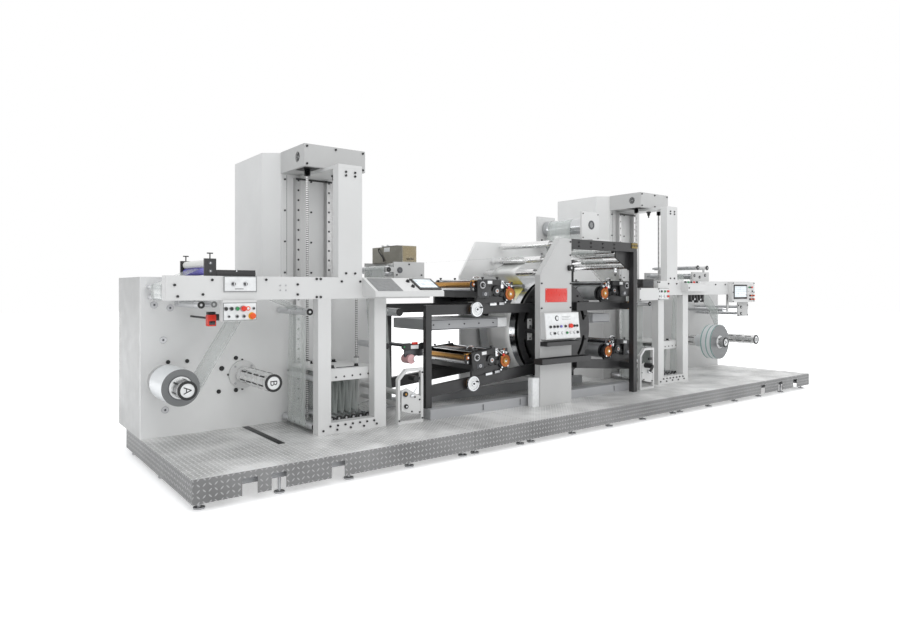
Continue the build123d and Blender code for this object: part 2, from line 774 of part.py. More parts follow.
# Nip unit
def nip_frame():
    top = TABLE_TOP + NIP_HEIGHT
    end = NIP_START + NIP_WIDTH
    parts = []
    for y in (NIP_FRONT, NIP_BACK):
        cheek = block(NIP_START, end, y, y + NIP_PLATE, TABLE_TOP, top)
        middle = y + NIP_PLATE / 2
        cheek += upright((NIP_START + end) / 2, middle, NIP_SCREW_R, top, top + NIP_SCREW_HEIGHT)
        handle = Pos((NIP_START + end) / 2, middle, top + NIP_SCREW_HEIGHT) * Rot(0, 90, 0)
        cheek += handle * Cylinder(NIP_SCREW_R, NIP_WIDTH / 2)
        parts.append(cheek)
    rail = block(end, NIP_BAR_END, NIP_FRONT, NIP_FRONT + NIP_BAR_DEPTH, TABLE_TOP, TABLE_TOP + NIP_BAR_HEIGHT)
    return [parts[0] + rail, parts[1]]


def nip_roller(row):
    z = TABLE_TOP + NIP_ROLLER_R + 8 + row * (2 * NIP_ROLLER_R + NIP_GAP)
    front = NIP_FRONT + NIP_PLATE
    x = NIP_START + NIP_WIDTH / 2
    return roller(x, z, NIP_ROLLER_R, front + 8, NIP_BACK - 8, front, NIP_BACK)


# Panels of the unwinder
def switch_plate():
    x0, x1, z0, z1 = SWITCH_PLATE
    return block(x0, x1, BEAM_FRONT - SWITCH_PLATE_THICKNESS, BEAM_FRONT, z0, z1)


def unwinder_button_box():
    x0, x1, z0 = BUTTON_BOX
    return block(x0, x1, BUTTON_BOX_FRONT, BUTTON_BOX_FRONT + BUTTON_BOX_DEPTH, z0, BEAM_LOW)


def edge_sensor():
    width, depth, height = SENSOR_SIZE
    body = block(SENSOR_X - width / 2, SENSOR_X + width / 2, SENSOR_Y, SENSOR_Y + depth,
                 SENSOR_Z, SENSOR_Z + height)
    return body + rod(SENSOR_X, SENSOR_Z + height / 2, SENSOR_ROD_R, SENSOR_Y + depth, WALL_FRONT)


def left_console():
    section = [(BEAM_FRONT, TABLE_TOP), (CONSOLE_FRONT, CONSOLE_LIP_TOP), (CONSOLE_FRONT, CONSOLE_BOTTOM),
               (BEAM_FRONT, CONSOLE_BOTTOM)]
    return bar(section, CONSOLE_START, CONSOLE_END)


# Surface treater
def treater_plates():
    """Side plates, each with a nose for the idler before the treater."""
    top = TABLE_TOP + TREATER_PLATE_HEIGHT
    low = TABLE_TOP + TREATER_NOSE_LOW
    plates = []
    for y in (TREATER_FRONT, WALL_FRONT - TREATER_PLATE):
        sheet = block(TREATER_START, TREATER_END, y, y + TREATER_PLATE, TABLE_TOP, top)
        sheet += block(TREATER_START - TREATER_NOSE, TREATER_START, y, y + TREATER_PLATE,
                       low, low + TREATER_NOSE_HEIGHT)
        plates.append(sheet)
    return plates


def treater_idler():
    z = TABLE_TOP + TREATER_NOSE_LOW + TREATER_NOSE_HEIGHT / 2
    x = TREATER_START - TREATER_NOSE + TREATER_IDLER_INSET
    front = TREATER_FRONT + TREATER_PLATE
    back = WALL_FRONT - TREATER_PLATE
    return roller(x, z, TREATER_IDLER_R, front + 8, back - 8, front, back)


def treater_box():
    low = TABLE_TOP + TREATER_PLATE_HEIGHT
    return block(TREATER_BOX_START, TREATER_BOX_END, TREATER_FRONT, WALL_FRONT, low, low + TREATER_BOX_HEIGHT)


def treater_roller():
    z = TABLE_TOP + TREATER_PLATE_HEIGHT / 2
    front = TREATER_FRONT + TREATER_PLATE
    back = WALL_FRONT - TREATER_PLATE
    x = TREATER_START + TREATER_ROLLER_R + 15
    return roller(x, z, TREATER_ROLLER_R, front + 8, back - 8, front, back)


# Press frame
def press_base():
    beams = []
    for y0, y1 in ((FRONT_BASE_FRONT, FRONT_RAIL_Y + RAIL_BAR_DEPTH), (REAR_RAIL_Y, REAR_FRAME_FRONT)):
        beams.append(block(PRESS_BASE_START, PRESS_BASE_END, y0, y1, DECK, BASE_TOP))
    low = DECK + BASE_SLOT_INSET
    for dx in BASE_SLOTS:
        x = DRUM_X + dx
        beams[0] -= block(x - BASE_SLOT_WIDTH / 2, x + BASE_SLOT_WIDTH / 2, FRONT_BASE_FRONT - 1,
                          FRONT_BASE_FRONT + BASE_SLOT_DEPTH, low, BASE_TOP - BASE_SLOT_INSET)
    return beams


def press_post():
    outline = [(POST_START, DECK), (POST_END, DECK), (POST_END, POST_TOP), (POST_SHOULDER_X, POST_TOP),
               (POST_START, POST_SHOULDER_Z)]
    back = POST_FRONT + POST_THICKNESS
    post = plate(outline, POST_FRONT, back) + rod(DRUM_X, DRUM_Z, BOSS_R, POST_FRONT, back)
    return post - rod(DRUM_X, DRUM_Z, DRUM_SHAFT_R + RUNNING, POST_FRONT - 1, back + 1)


def drum_disc():
    back = DISC_FRONT + DISC_THICKNESS
    disc = rod(DRUM_X, DRUM_Z, DISC_R, DISC_FRONT, back)
    disc -= rod(DRUM_X, DRUM_Z, DRUM_SHAFT_R + 15, DISC_FRONT - 1, back + 1)
    for start in DISC_SLOT_STARTS:
        arc = CenterArc((0, 0), DISC_SLOT_R, start, DISC_SLOT_ARC)
        slot = extrude(SlotArc(arc, DISC_SLOT_WIDTH), amount=DISC_THICKNESS + 2)
        disc -= Pos(DRUM_X, back + 1, DRUM_Z) * Rot(90, 0, 0) * slot
    for dx, dz in SPACERS:
        disc += rod(DRUM_X + dx, DRUM_Z + dz, SPACER_R, POST_FRONT + POST_THICKNESS, DISC_FRONT)
    return disc


def rear_frame():
    half = REAR_FRAME_HALF
    top_half = REAR_FRAME_TOP_HALF
    outline = [(DRUM_X - half, DECK), (DRUM_X + half, DECK), (DRUM_X + half, POST_SHOULDER_Z),
               (DRUM_X + top_half, POST_TOP), (DRUM_X - top_half, POST_TOP), (DRUM_X - half, POST_SHOULDER_Z)]
    back = REAR_FRAME_FRONT + REAR_FRAME_THICKNESS
    frame = plate(outline, REAR_FRAME_FRONT, back)
    return frame - rod(DRUM_X, DRUM_Z, DRUM_SHAFT_R + RUNNING, REAR_FRAME_FRONT - 1, back + 1)


def gantry_beams():
    low = POST_TOP - GANTRY_HEIGHT
    front = block(POST_END, GANTRY_END, POST_FRONT, POST_FRONT + POLE_DEPTH, low, POST_TOP)
    rear = block(DRUM_X, GANTRY_END, REAR_FRAME_BACK, REAR_FRAME_BACK + POLE_DEPTH, low, POST_TOP)
    return [front, rear]


def gantry_poles():
    top = POST_TOP - GANTRY_HEIGHT - SEAT
    start = GANTRY_END - POLE_SIZE
    return [block(start, GANTRY_END, y, y + POLE_DEPTH, DECK, top) for y in (POST_FRONT, REAR_FRAME_BACK)]


def lower_rail_top(x):
    """Height of the left lower rail's top at a place along the machine."""
    return LOWER_RAIL_TOP + (x - LOWER_RAIL_X) * RAIL_SLOPE


def upper_rail_outline(outer, inner):
    low = UPPER_RAIL_TOP - UPPER_RAIL_HEIGHT
    return [(outer, low), (inner, low), (inner, UPPER_RAIL_TOP), (outer, UPPER_RAIL_TOP)]


def lower_rail_outline(outer, inner):
    drop = LOWER_RAIL_HEIGHT / math.cos(math.radians(LOWER_RAIL_ANGLE))
    z0 = lower_rail_top(outer)
    z1 = lower_rail_top(inner)
    return [(outer, z0 - drop), (inner, z1 - drop), (inner, z1), (outer, z0)]


def lower_handwheel_z():
    drop = LOWER_RAIL_HEIGHT / math.cos(math.radians(LOWER_RAIL_ANGLE))
    return lower_rail_top(LOWER_HANDWHEEL_X) - drop / 2


def handwheel_places():
    """Axis of each left handwheel, by level."""
    return {"upper": (UPPER_HANDWHEEL_X, UPPER_RAIL_TOP - UPPER_RAIL_HEIGHT / 2),
            "lower": (LOWER_HANDWHEEL_X, lower_handwheel_z())}


def print_rails(level, side):
    """Front and back rails of one print unit, with their pad on the drum disc."""
    inner = DRUM_X - RAIL_REACH
    outer = LEFT_RAIL_END if side == "left" else 2 * DRUM_X - RIGHT_RAIL_END
    outline = upper_rail_outline if level == "upper" else lower_rail_outline
    points = outline(outer, inner)
    x, z = handwheel_places()[level]
    front = plate(points, FRONT_RAIL_Y, FRONT_RAIL_Y + RAIL_BAR_DEPTH)
    front -= rod(x, z, HANDWHEEL_SHAFT_R + RUNNING, FRONT_RAIL_Y - 1, FRONT_RAIL_Y + RAIL_BAR_DEPTH + 1)
    middle = (points[1][1] + points[2][1]) / 2
    pad = block(inner - PAD_LENGTH, inner, FRONT_RAIL_Y + RAIL_BAR_DEPTH, DISC_FRONT,
                middle - PAD_HEIGHT / 2, middle + PAD_HEIGHT / 2)
    back = plate(points, REAR_RAIL_Y, REAR_RAIL_Y + REAR_RAIL_DEPTH)
    rails = [front + pad, back]
    return rails if side == "left" else [mirror_x(rail) for rail in rails]


def rail_uprights():
    """Posts at the outer ends of the left rails, on the press base."""
    start = LEFT_RAIL_END - UPRIGHT_WIDTH
    front = block(start, LEFT_RAIL_END, FRONT_RAIL_Y, FRONT_RAIL_Y + RAIL_BAR_DEPTH, BASE_TOP, UPPER_RAIL_TOP)
    back = block(start, LEFT_RAIL_END, REAR_RAIL_Y, REAR_RAIL_Y + REAR_RAIL_DEPTH, BASE_TOP, UPPER_RAIL_TOP)
    return [front, back]


def pole_brackets():
    """Blocks that hold the right rails on the gantry poles."""
    start = GANTRY_END - POLE_SIZE
    brackets = []
    upper = UPPER_RAIL_TOP - UPPER_RAIL_HEIGHT / 2
    lower = lower_rail_top(2 * DRUM_X - start) - LOWER_RAIL_HEIGHT / 2
    for z in (upper, lower):
        low = z - PAD_HEIGHT / 2
        brackets.append(block(start, GANTRY_END, POST_FRONT + POLE_DEPTH, FRONT_RAIL_Y, low, low + PAD_HEIGHT))
        back_start = REAR_RAIL_Y + REAR_RAIL_DEPTH
        brackets.append(block(start, GANTRY_END, back_start, REAR_FRAME_BACK, low, low + PAD_HEIGHT))
    return brackets


# Impression drum
def impression_drum():
    middle = (DRUM_FRONT + DRUM_BACK) / 2
    drum = rod(DRUM_X, DRUM_Z, DRUM_R, DRUM_FRONT, DRUM_BACK)
    drum -= rod(DRUM_X, DRUM_Z, DRUM_R - DRUM_RIM, DRUM_FRONT - 1, DRUM_BACK + 1)
    drum += rod(DRUM_X, DRUM_Z, DRUM_R - DRUM_RIM / 2, middle - DRUM_WEB / 2, middle + DRUM_WEB / 2)
    drum += rod(DRUM_X, DRUM_Z, DRUM_HUB_R, DRUM_FRONT, DRUM_BACK)
    return drum + rod(DRUM_X, DRUM_Z, DRUM_SHAFT_R, POST_FRONT, REAR_FRAME_FRONT + REAR_FRAME_THICKNESS)


# Print units, drawn for the upper left place
def unit_start(level):
    return UNIT_START if level == "upper" else UNIT_START + LOWER_UNIT_SHIFT


def unit_roller_places():
    """Centre u, v and radius of each roller, each one touching the next but for the nip gap."""
    pu, pv = PLATE_CYLINDER_U, PLATE_CYLINDER_V
    reach = PLATE_CYLINDER_R + FORM_ROLLER_R + NIP_GAP
    low_form = (pu - reach * math.cos(math.radians(20)), pv - reach * math.sin(math.radians(20)))
    high_form = (pu - reach * math.cos(math.radians(40)), pv + reach * math.sin(math.radians(40)))
    half = math.dist(low_form, high_form) / 2
    side = math.sqrt((FORM_ROLLER_R + OSCILLATOR_R + NIP_GAP) ** 2 - half ** 2)
    away = ((low_form[1] - high_form[1]) / (2 * half), (high_form[0] - low_form[0]) / (2 * half))
    osc = ((low_form[0] + high_form[0]) / 2 + side * away[0], (low_form[1] + high_form[1]) / 2 + side * away[1])
    rider = around(osc, OSCILLATOR_R + RIDER_R + NIP_GAP, 120)
    ductor = around(osc, OSCILLATOR_R + DUCTOR_R + NIP_GAP, 190)
    fountain = around(ductor, DUCTOR_R + FOUNTAIN_R + NIP_GAP, 190)
    return {"plate": (pu, pv, PLATE_CYLINDER_R), "low_form": (*low_form, FORM_ROLLER_R),
            "high_form": (*high_form, FORM_ROLLER_R), "oscillator": (*osc, OSCILLATOR_R),
            "rider": (*rider, RIDER_R), "ductor": (*ductor, DUCTOR_R), "fountain": (*fountain, FOUNTAIN_R)}


def around(centre, distance, angle):
    return (centre[0] + distance * math.cos(math.radians(angle)),
            centre[1] + distance * math.sin(math.radians(angle)))


def unit_place(shape, level, side):
    """Seat a shape drawn from u and v zero on its rail."""
    start = unit_start(level)
    if level == "upper":
        placed = Pos(start, 0, UPPER_RAIL_TOP + SEAT) * shape
    else:
        placed = Pos(start, 0, lower_rail_top(start) + SEAT) * Rot(0, -LOWER_RAIL_ANGLE, 0) * shape
    return placed if side == "left" else mirror_x(placed)


def unit_frame(level, side):
    """Two side plates joined by tie bars, with the ink trough between them."""
    end = PLATE_CYLINDER_U + PLATE_CYLINDER_R - UNIT_NOSE_GAP
    outline = [(0, 0), (end - 40, 0), (end, 50), (end, UNIT_NOSE_HEIGHT - 30), (end - 30, UNIT_NOSE_HEIGHT),
               (UNIT_SHOULDER_U + 35, UNIT_NOSE_HEIGHT), (UNIT_SHOULDER_U, UNIT_HEIGHT), (50, UNIT_HEIGHT),
               (0, UNIT_HEIGHT - 61)]
    frame = plate(outline, UNIT_FRONT, UNIT_FRONT + UNIT_PLATE)
    frame += plate(outline, UNIT_BACK, UNIT_BACK + UNIT_PLATE)
    trough = [(12, 70), (50, 70), (52, 82), (26, 88), (26, 190), (12, 190)]
    frame += plate(trough, UNIT_INSIDE_FRONT, UNIT_INSIDE_BACK)
    frame += block(90, 175, UNIT_INSIDE_FRONT, UNIT_INSIDE_BACK, UNIT_HEIGHT - 21, UNIT_HEIGHT - 7)
    frame += rod(250, 25, TIE_BAR_R, UNIT_INSIDE_FRONT, UNIT_INSIDE_BACK)
    for y in (UNIT_FRONT + UNIT_PLATE / 2, UNIT_BACK + UNIT_PLATE / 2):
        for u in KNOB_PLACES:
            frame += upright(u, y, KNOB_R / 2, UNIT_HEIGHT - KNOB_HEIGHT, UNIT_HEIGHT + KNOB_NECK)
            frame += upright(u, y, KNOB_R, UNIT_HEIGHT + KNOB_NECK, UNIT_HEIGHT + KNOB_HEIGHT)
    return unit_place(frame, level, side)


def unit_rollers(level, side):
    front = UNIT_INSIDE_FRONT
    back = UNIT_INSIDE_BACK
    inset = UNIT_ROLLER_INSET
    rollers = []
    for u, v, r in unit_roller_places().values():
        shape = roller(u, v, r, front + inset, back - inset, front, back, UNIT_JOURNAL_R)
        rollers.append(unit_place(shape, level, side))
    return rollers


def gear_outline(centre, teeth, turn):
    """Corners of a spur gear's teeth in u and v, with one tooth at the angle given by turn."""
    pitch_r = GEAR_MODULE * teeth / 2
    root = pitch_r - GEAR_ROOT * GEAR_MODULE
    tip = pitch_r + GEAR_TIP * GEAR_MODULE
    step = 2 * math.pi / teeth
    corners = []
    for i in range(teeth):
        for r, share in ((root, -ROOT_SHARE), (tip, -TIP_SHARE), (tip, TIP_SHARE), (root, ROOT_SHARE)):
            angle = turn + (i + share) * step
            corners.append((centre[0] + r * math.cos(angle), centre[1] + r * math.sin(angle)))
    return corners


def meshed_turn(centre, teeth, turn, other, other_teeth):
    """The angle that puts a gap of the next gear on a tooth of this one."""
    facing = math.atan2(other[1] - centre[1], other[0] - centre[0])
    lag = (turn - facing) % (2 * math.pi / teeth)
    return facing + math.pi - lag * teeth / other_teeth + math.pi / other_teeth


def idler_place(first, first_teeth, last, last_teeth, teeth):
    """Centre of an idler that meshes with both gears, below the line between them."""
    reach = GEAR_MODULE * (first_teeth + teeth) / 2
    other_reach = GEAR_MODULE * (last_teeth + teeth) / 2
    gap = math.dist(first, last)
    along = (gap ** 2 + reach ** 2 - other_reach ** 2) / (2 * gap)
    drop = math.sqrt(reach ** 2 - along ** 2)
    way = ((last[0] - first[0]) / gap, (last[1] - first[1]) / gap)
    return (first[0] + along * way[0] - drop * way[1], first[1] + along * way[1] + drop * way[0])


def gear_train():
    """Centre, teeth and turn of each gear, from the plate cylinder to the ink fountain roller."""
    places = unit_roller_places()
    plate_axis, osc, fountain = (places[name][:2] for name in ("plate", "oscillator", "fountain"))
    first_idler = idler_place(plate_axis, PLATE_TEETH, osc, OSCILLATOR_TEETH, FIRST_IDLER_TEETH)
    second_idler = idler_place(osc, OSCILLATOR_TEETH, fountain, FOUNTAIN_TEETH, SECOND_IDLER_TEETH)
    centres = (plate_axis, first_idler, osc, second_idler, fountain)
    teeth = (PLATE_TEETH, FIRST_IDLER_TEETH, OSCILLATOR_TEETH, SECOND_IDLER_TEETH, FOUNTAIN_TEETH)
    turns = [0.0]
    for i in range(len(teeth) - 1):
        turns.append(meshed_turn(centres[i], teeth[i], turns[i], centres[i + 1], teeth[i + 1]))
    return list(zip(centres, teeth, turns))


def unit_gears(level, side):
    """The toothed gears outside the front plate, with their hubs."""
    front = UNIT_FRONT - GEAR_THICKNESS
    gears = []
    for centre, teeth, turn in gear_train():
        gear = plate(gear_outline(centre, teeth, turn), front, UNIT_FRONT)
        gear += rod(*centre, GEAR_HUB_R, front - GEAR_HUB, front)
        gears.append(unit_place(gear, level, side))
    return gears


def handwheel(level, side):
    x, z = handwheel_places()[level]
    front = HANDWHEEL_FRONT
    wheel = rod(x, z, HANDWHEEL_R, front, front + HANDWHEEL_THICKNESS)
    wheel -= rod(x, z, HANDWHEEL_R - HANDWHEEL_RIM, front - 1, front + HANDWHEEL_THICKNESS / 3)
    wheel += rod(x, z, HANDWHEEL_R / 3, front, FRONT_RAIL_Y - SEAT)
    wheel += rod(x, z, HANDWHEEL_SHAFT_R, front, FRONT_RAIL_Y + RAIL_BAR_DEPTH)
    return wheel if side == "left" else mirror_x(wheel)


# Guide rollers of the press
def over_drum_rollers():
    length = math.dist((POST_START, POST_SHOULDER_Z), (POST_SHOULDER_X, POST_TOP))
    du = (POST_SHOULDER_X - POST_START) / length
    dv = (POST_TOP - POST_SHOULDER_Z) / length
    rollers = []
    front = POST_FRONT + POST_THICKNESS
    for step in GUIDE_STEPS:
        x = POST_START + step * du + GUIDE_EDGE_INSET * dv
        z = POST_SHOULDER_Z + step * dv - GUIDE_EDGE_INSET * du
        rollers.append(roller(x, z, GUIDE_R, front + ROLLER_INSET, REAR_FRAME_FRONT - ROLLER_INSET,
                              front, REAR_FRAME_FRONT))
    return rollers


def hanger_plates():
    """Dark plates under the gantry beams that carry the outfeed rollers."""
    start = DRUM_X + HANGER_ROLLERS[0][0] - HANGER_EDGE
    low = POST_TOP - GANTRY_HEIGHT
    top = low + HANGER_TAB
    outline = [(start, top), (start, low - HANGER_DROP), (GANTRY_END - POLE_SIZE, HANGER_LOW),
               (GANTRY_END, HANGER_LOW), (GANTRY_END, top)]
    return [plate(outline, y, y + HANGER_PLATE) for y in (POST_FRONT + POLE_DEPTH, REAR_FRAME_BACK - HANGER_PLATE)]


def hanger_rollers():
    front = POST_FRONT + POLE_DEPTH + HANGER_PLATE
    back = REAR_FRAME_BACK - HANGER_PLATE
    return [roller(DRUM_X + dx, z, HANGER_R, front + ROLLER_INSET, back - ROLLER_INSET, front, back)
            for dx, z in HANGER_ROLLERS]


# Chill roller
def chill_frame():
    low = POST_TOP
    top = low + CHILL_BASE
    end = CHILL_START + CHILL_WIDTH
    frame = block(CHILL_START, end, POST_FRONT, REAR_FRAME_BACK, low, top)
    for y in (CHILL_FRONT, CHILL_BACK):
        cheek = block(CHILL_START, end, y, y + CHILL_PLATE, top, top + CHILL_HEIGHT)
        frame += cheek
    for y in (CHILL_FRONT, CHILL_BACK):
        frame -= rod(CHILL_X, CHILL_Z, CHILL_JOURNAL_R + RUNNING, y - 1, y + CHILL_PLATE + 1)
    return frame


def chill_roller():
    front = CHILL_FRONT + CHILL_PLATE
    body = rod(CHILL_X, CHILL_Z, CHILL_R, front + 10, CHILL_BACK - 10)
    return body + rod(CHILL_X, CHILL_Z, CHILL_JOURNAL_R, CHILL_FRONT, CHILL_BACK + CHILL_PLATE)


# Post panel, trays and box
def press_panel():
    section = [(PANEL_FRONT, PANEL_LOW), (POST_FRONT, PANEL_LOW), (POST_FRONT, PANEL_LOW + PANEL_HEIGHT),
               (PANEL_FRONT + PANEL_LEAN, PANEL_LOW + PANEL_HEIGHT)]
    return bar(section, PANEL_START, PANEL_END)


def tool_trays():
    trays = []
    for left, right, y0, z0, height in TRAYS:
        x0 = DRUM_X + left
        x1 = DRUM_X + right
        tray = block(x0, x1, y0, POST_FRONT, z0, z0 + height)
        tray -= block(x0 + TRAY_WALL, x1 - TRAY_WALL, y0 + TRAY_WALL, POST_FRONT - TRAY_WALL,
                      z0 + TRAY_WALL, z0 + height + 1)
        trays.append(tray)
    return trays


def unit_cable_boxes():
    """Grey boxes across the machine between the upper and lower units, on the rear frame."""
    start = LEFT_RAIL_END + CABLE_BOX_GAP
    end = DRUM_X - CABLE_BOX_DRUM_GAP
    low = UPPER_RAIL_TOP - UPPER_RAIL_HEIGHT - CABLE_BOX_DROP - CABLE_BOX_HEIGHT
    left = block(start, end, CABLE_BOX_FRONT, REAR_FRAME_FRONT, low, low + CABLE_BOX_HEIGHT)
    right_end = GANTRY_END - POLE_SIZE - CABLE_BOX_GAP
    right = block(DRUM_X + CABLE_BOX_DRUM_GAP, right_end, CABLE_BOX_FRONT, REAR_FRAME_FRONT, low,
                  low + CABLE_BOX_HEIGHT)
    return [left, right]


def junction_box():
    width, depth, height = JUNCTION_BOX_SIZE
    back = POST_FRONT + POST_THICKNESS
    return block(POST_START - width, POST_START, back - depth, back, DECK, DECK + height)


# Web sensor frames
def sensor_frame(x0, y):
    """A five-sided frame of flat bar, its lower corners square."""
    x1 = x0 + FRAME_WIDTH
    cut = FRAME_CORNER

    def outline(inset):
        slope = inset * math.tan(math.radians(22.5))
        return [(x0 + inset, DECK + inset), (x1 - inset, DECK + inset), (x1 - inset, FRAME_TOP - inset),
                (x0 + cut + slope, FRAME_TOP - inset), (x0 + inset, FRAME_TOP - cut - slope)]

    frame = plate(outline(0), y, y + FRAME_DEPTH)
    return frame - plate(outline(FRAME_BAR), y - 1, y + FRAME_DEPTH + 1)


def sensor_bracket(x0, y):
    """The plate inside a sensor frame that carries its rollers, against the frame's right bar."""
    near = y + SENSOR_BRACKET_INSET
    points = [(x0 + dx, DECK + dz) for dx, dz in SENSOR_BRACKET]
    return plate(points, near, near + SENSOR_BRACKET_THICKNESS)


def sensor_frame_rollers(x0, y):
    """Rollers from the bracket to the wall behind it."""
    front = y + SENSOR_BRACKET_INSET + SENSOR_BRACKET_THICKNESS
    body_front = y + FRAME_DEPTH + SENSOR_ROLLER_GAP
    return [roller(x0 + dx, DECK + dz, r, body_front, ROLLER_BACK, front, WALL_FRONT)
            for dx, dz, r in SENSOR_FRAME_ROLLERS]


# Rewinder
def rewinder_console():
    return block(REWIND_CONSOLE_START, RIGHT_BEAM_END, REWIND_CONSOLE_FRONT, BEAM_FRONT,
                 REWIND_CONSOLE_LOW, REWIND_CONSOLE_TOP)


def rewinder_control_box():
    x0 = RIGHT_ACCUMULATOR - CONTROL_BOX_BEFORE_TOWER
    x1 = x0 + CONTROL_BOX_WIDTH
    return block(x0, x1, CONTROL_BOX_FRONT, BEAM_BACK, REWIND_PANEL_LOW, REWIND_PANEL_TOP)


def rewinder_button_box():
    x0 = RIGHT_ACCUMULATOR - CONTROL_BOX_BEFORE_TOWER + CONTROL_BOX_WIDTH
    x1 = x0 + REWIND_PANEL_WIDTH
    return block(x0, x1, REWIND_PANEL_FRONT, BEAM_FRONT, REWIND_PANEL_LOW, REWIND_PANEL_TOP)


def web_guide_frame():
    """Side plates, with a raised arm in front and one on the back plate."""
    top = TABLE_TOP + WINDER_HEIGHT
    front, back = [block(WINDER_START, WINDER_END, y, y + NIP_PLATE, TABLE_TOP, top)
                   for y in (BEAM_FRONT + WINDER_PLATE_INSET, WALL_FRONT)]
    return [front, back + upper_arm(WALL_FRONT - UPPER_ARM_THICKNESS), upper_arm(UPPER_ARM_Y)]


def upper_arm(y):
    """A level arm on a post, above the table."""
    back = y + UPPER_ARM_THICKNESS
    start = WINDER_START + UPPER_ARM_START
    low = TABLE_TOP + UPPER_ARM_RISE
    left, right = (WINDER_START + dx for dx in UPPER_ARM_POST)
    arm = block(start, start + UPPER_ARM_LENGTH, y, back, low, low + UPPER_ARM_HEIGHT)
    return arm + block(left, right, y, back, TABLE_TOP, low)


def upper_arm_rollers():
    front = UPPER_ARM_Y + UPPER_ARM_THICKNESS
    back = WALL_FRONT - UPPER_ARM_THICKNESS
    z = TABLE_TOP + UPPER_ARM_RISE + UPPER_ARM_HEIGHT / 2
    start = WINDER_START + UPPER_ARM_START
    return [roller(x, z, UPPER_ARM_ROLLER_R, front + 8, back - 8, front, back)
            for x in (start + UPPER_ARM_ROLLER_INSET, start + UPPER_ARM_LENGTH - UPPER_ARM_ROLLER_INSET)]


def tilted_console():
    """A small sloping console on the front of the right table beam."""
    x0, x1 = (RIGHT_ACCUMULATOR + dx for dx in TILTED_CONSOLE)
    return bar(TILTED_CONSOLE_SECTION, x0, x1)


def outfeed_hangers():
    """The plate and the hanger under the right table beam that carry the last rollers."""
    right = RIGHT_BEAM_END
    back = HANGING_PLATE_Y + HANGING_PLATE_THICKNESS
    plate_low = BEAM_LOW - HANGING_PLATE_DROP
    middle = right - OUTFEED_ROLLER_BEFORE_END
    half = OUTFEED_HANGER_WIDTH / 2
    low = BEAM_LOW - OUTFEED_ROLLER_DROP - half
    return [block(right - HANGING_PLATE_BEFORE_END, right, HANGING_PLATE_Y, back, plate_low, BEAM_LOW),
            block(middle - half, middle + half, HANGING_PLATE_Y, back, low, BEAM_LOW)]


def outfeed_rollers():
    front = HANGING_PLATE_Y + HANGING_PLATE_THICKNESS
    places = [(RIGHT_BEAM_END + dx, BEAM_LOW - drop, HANGING_ROLLER_R) for dx, drop in HANGING_ROLLERS]
    places.append((RIGHT_BEAM_END - OUTFEED_ROLLER_BEFORE_END, BEAM_LOW - OUTFEED_ROLLER_DROP, OUTFEED_ROLLER_R))
    return [roller(x, z, r, front + ROLLER_INSET, ROLLER_BACK, front, WALL_FRONT) for x, z, r in places]


def web_guide_rollers():
    front = BEAM_FRONT + WINDER_PLATE_INSET + NIP_PLATE
    rollers = []
    for dx, dz in WINDER_ROLLERS:
        rollers.append(roller(WINDER_START + dx, TABLE_TOP + dz, WINDER_ROLLER_R, front + ROLLER_INSET,
                              WALL_FRONT - ROLLER_INSET, front, WALL_FRONT))
    return rollers


# Write every part
os.makedirs("parts", exist_ok=True)

save("deck_plates", deck_plates())
save("front_skirt", front_skirt())
save("back_and_end_skirts", back_and_end_skirts())
save("base_frame", base_frame())
save("levelling_feet", levelling_feet())
save("unwinder_wall", wall(0, UNWINDER_WALL_LENGTH))
save("rewinder_wall", wall(REWINDER_WALL_START, LENGTH))
save("rear_cabinets", [cabinet(0, UNWINDER_CABINET_LENGTH), cabinet(REWINDER_WALL_START, LENGTH)])
save("tower_housings", [tower_housing(x) + tower_back_plate(x) for x in ACCUMULATORS.values()])
save("tower_heads", [tower_head(x) for x in ACCUMULATORS.values()])
save("accumulator_frames", portal_legs() + portal_sills() + tower_columns())
save("table_beams", [table_beam(0, LEFT_BEAM_END), table_beam(RIGHT_ACCUMULATOR, RIGHT_BEAM_END)]
     + table_cross_members())
save("lift_guides", linear_rails() + lift_screws())
save("festoon_rollers", festoon_rollers())
for side, place in ACCUMULATORS.items():
    save(f"{side}_accumulator_carriage", accumulator_carriage(place))
    save(f"{side}_carriage_rollers", carriage_rollers(place))

save("bearing_flanges", bearing_flanges())
save("unwind_mandrel_a", mandrel(UNWIND_A))
save("unwind_mandrel_b", mandrel(UNWIND_B))
save("rewind_mandrel_a", mandrel(REWIND_A))
save("rewind_mandrel_b", mandrel(REWIND_B))
save("film_reel", wound_roll(UNWIND_A, REEL_R, REEL_FRONT, REEL_BACK))
save("finished_roll", finished_roll())

save("table_rollers", infeed_rollers() + left_idlers() + [treater_roller(), treater_idler()]
     + web_guide_rollers() + upper_arm_rollers() + outfeed_rollers())
save("table_side_plates", treater_plates() + web_guide_frame() + outfeed_hangers())
save("nip_frame", nip_frame())
save("nip_rollers", [nip_roller(0), nip_roller(1)])
save("control_panels", [switch_plate(), unwinder_button_box(), rewinder_control_box() + rewinder_button_box(),
                        press_panel(), rewinder_console(), tilted_console()])
save("left_console", left_console())
save("web_sensors", edge_sensor())
save("treater_box", treater_box())

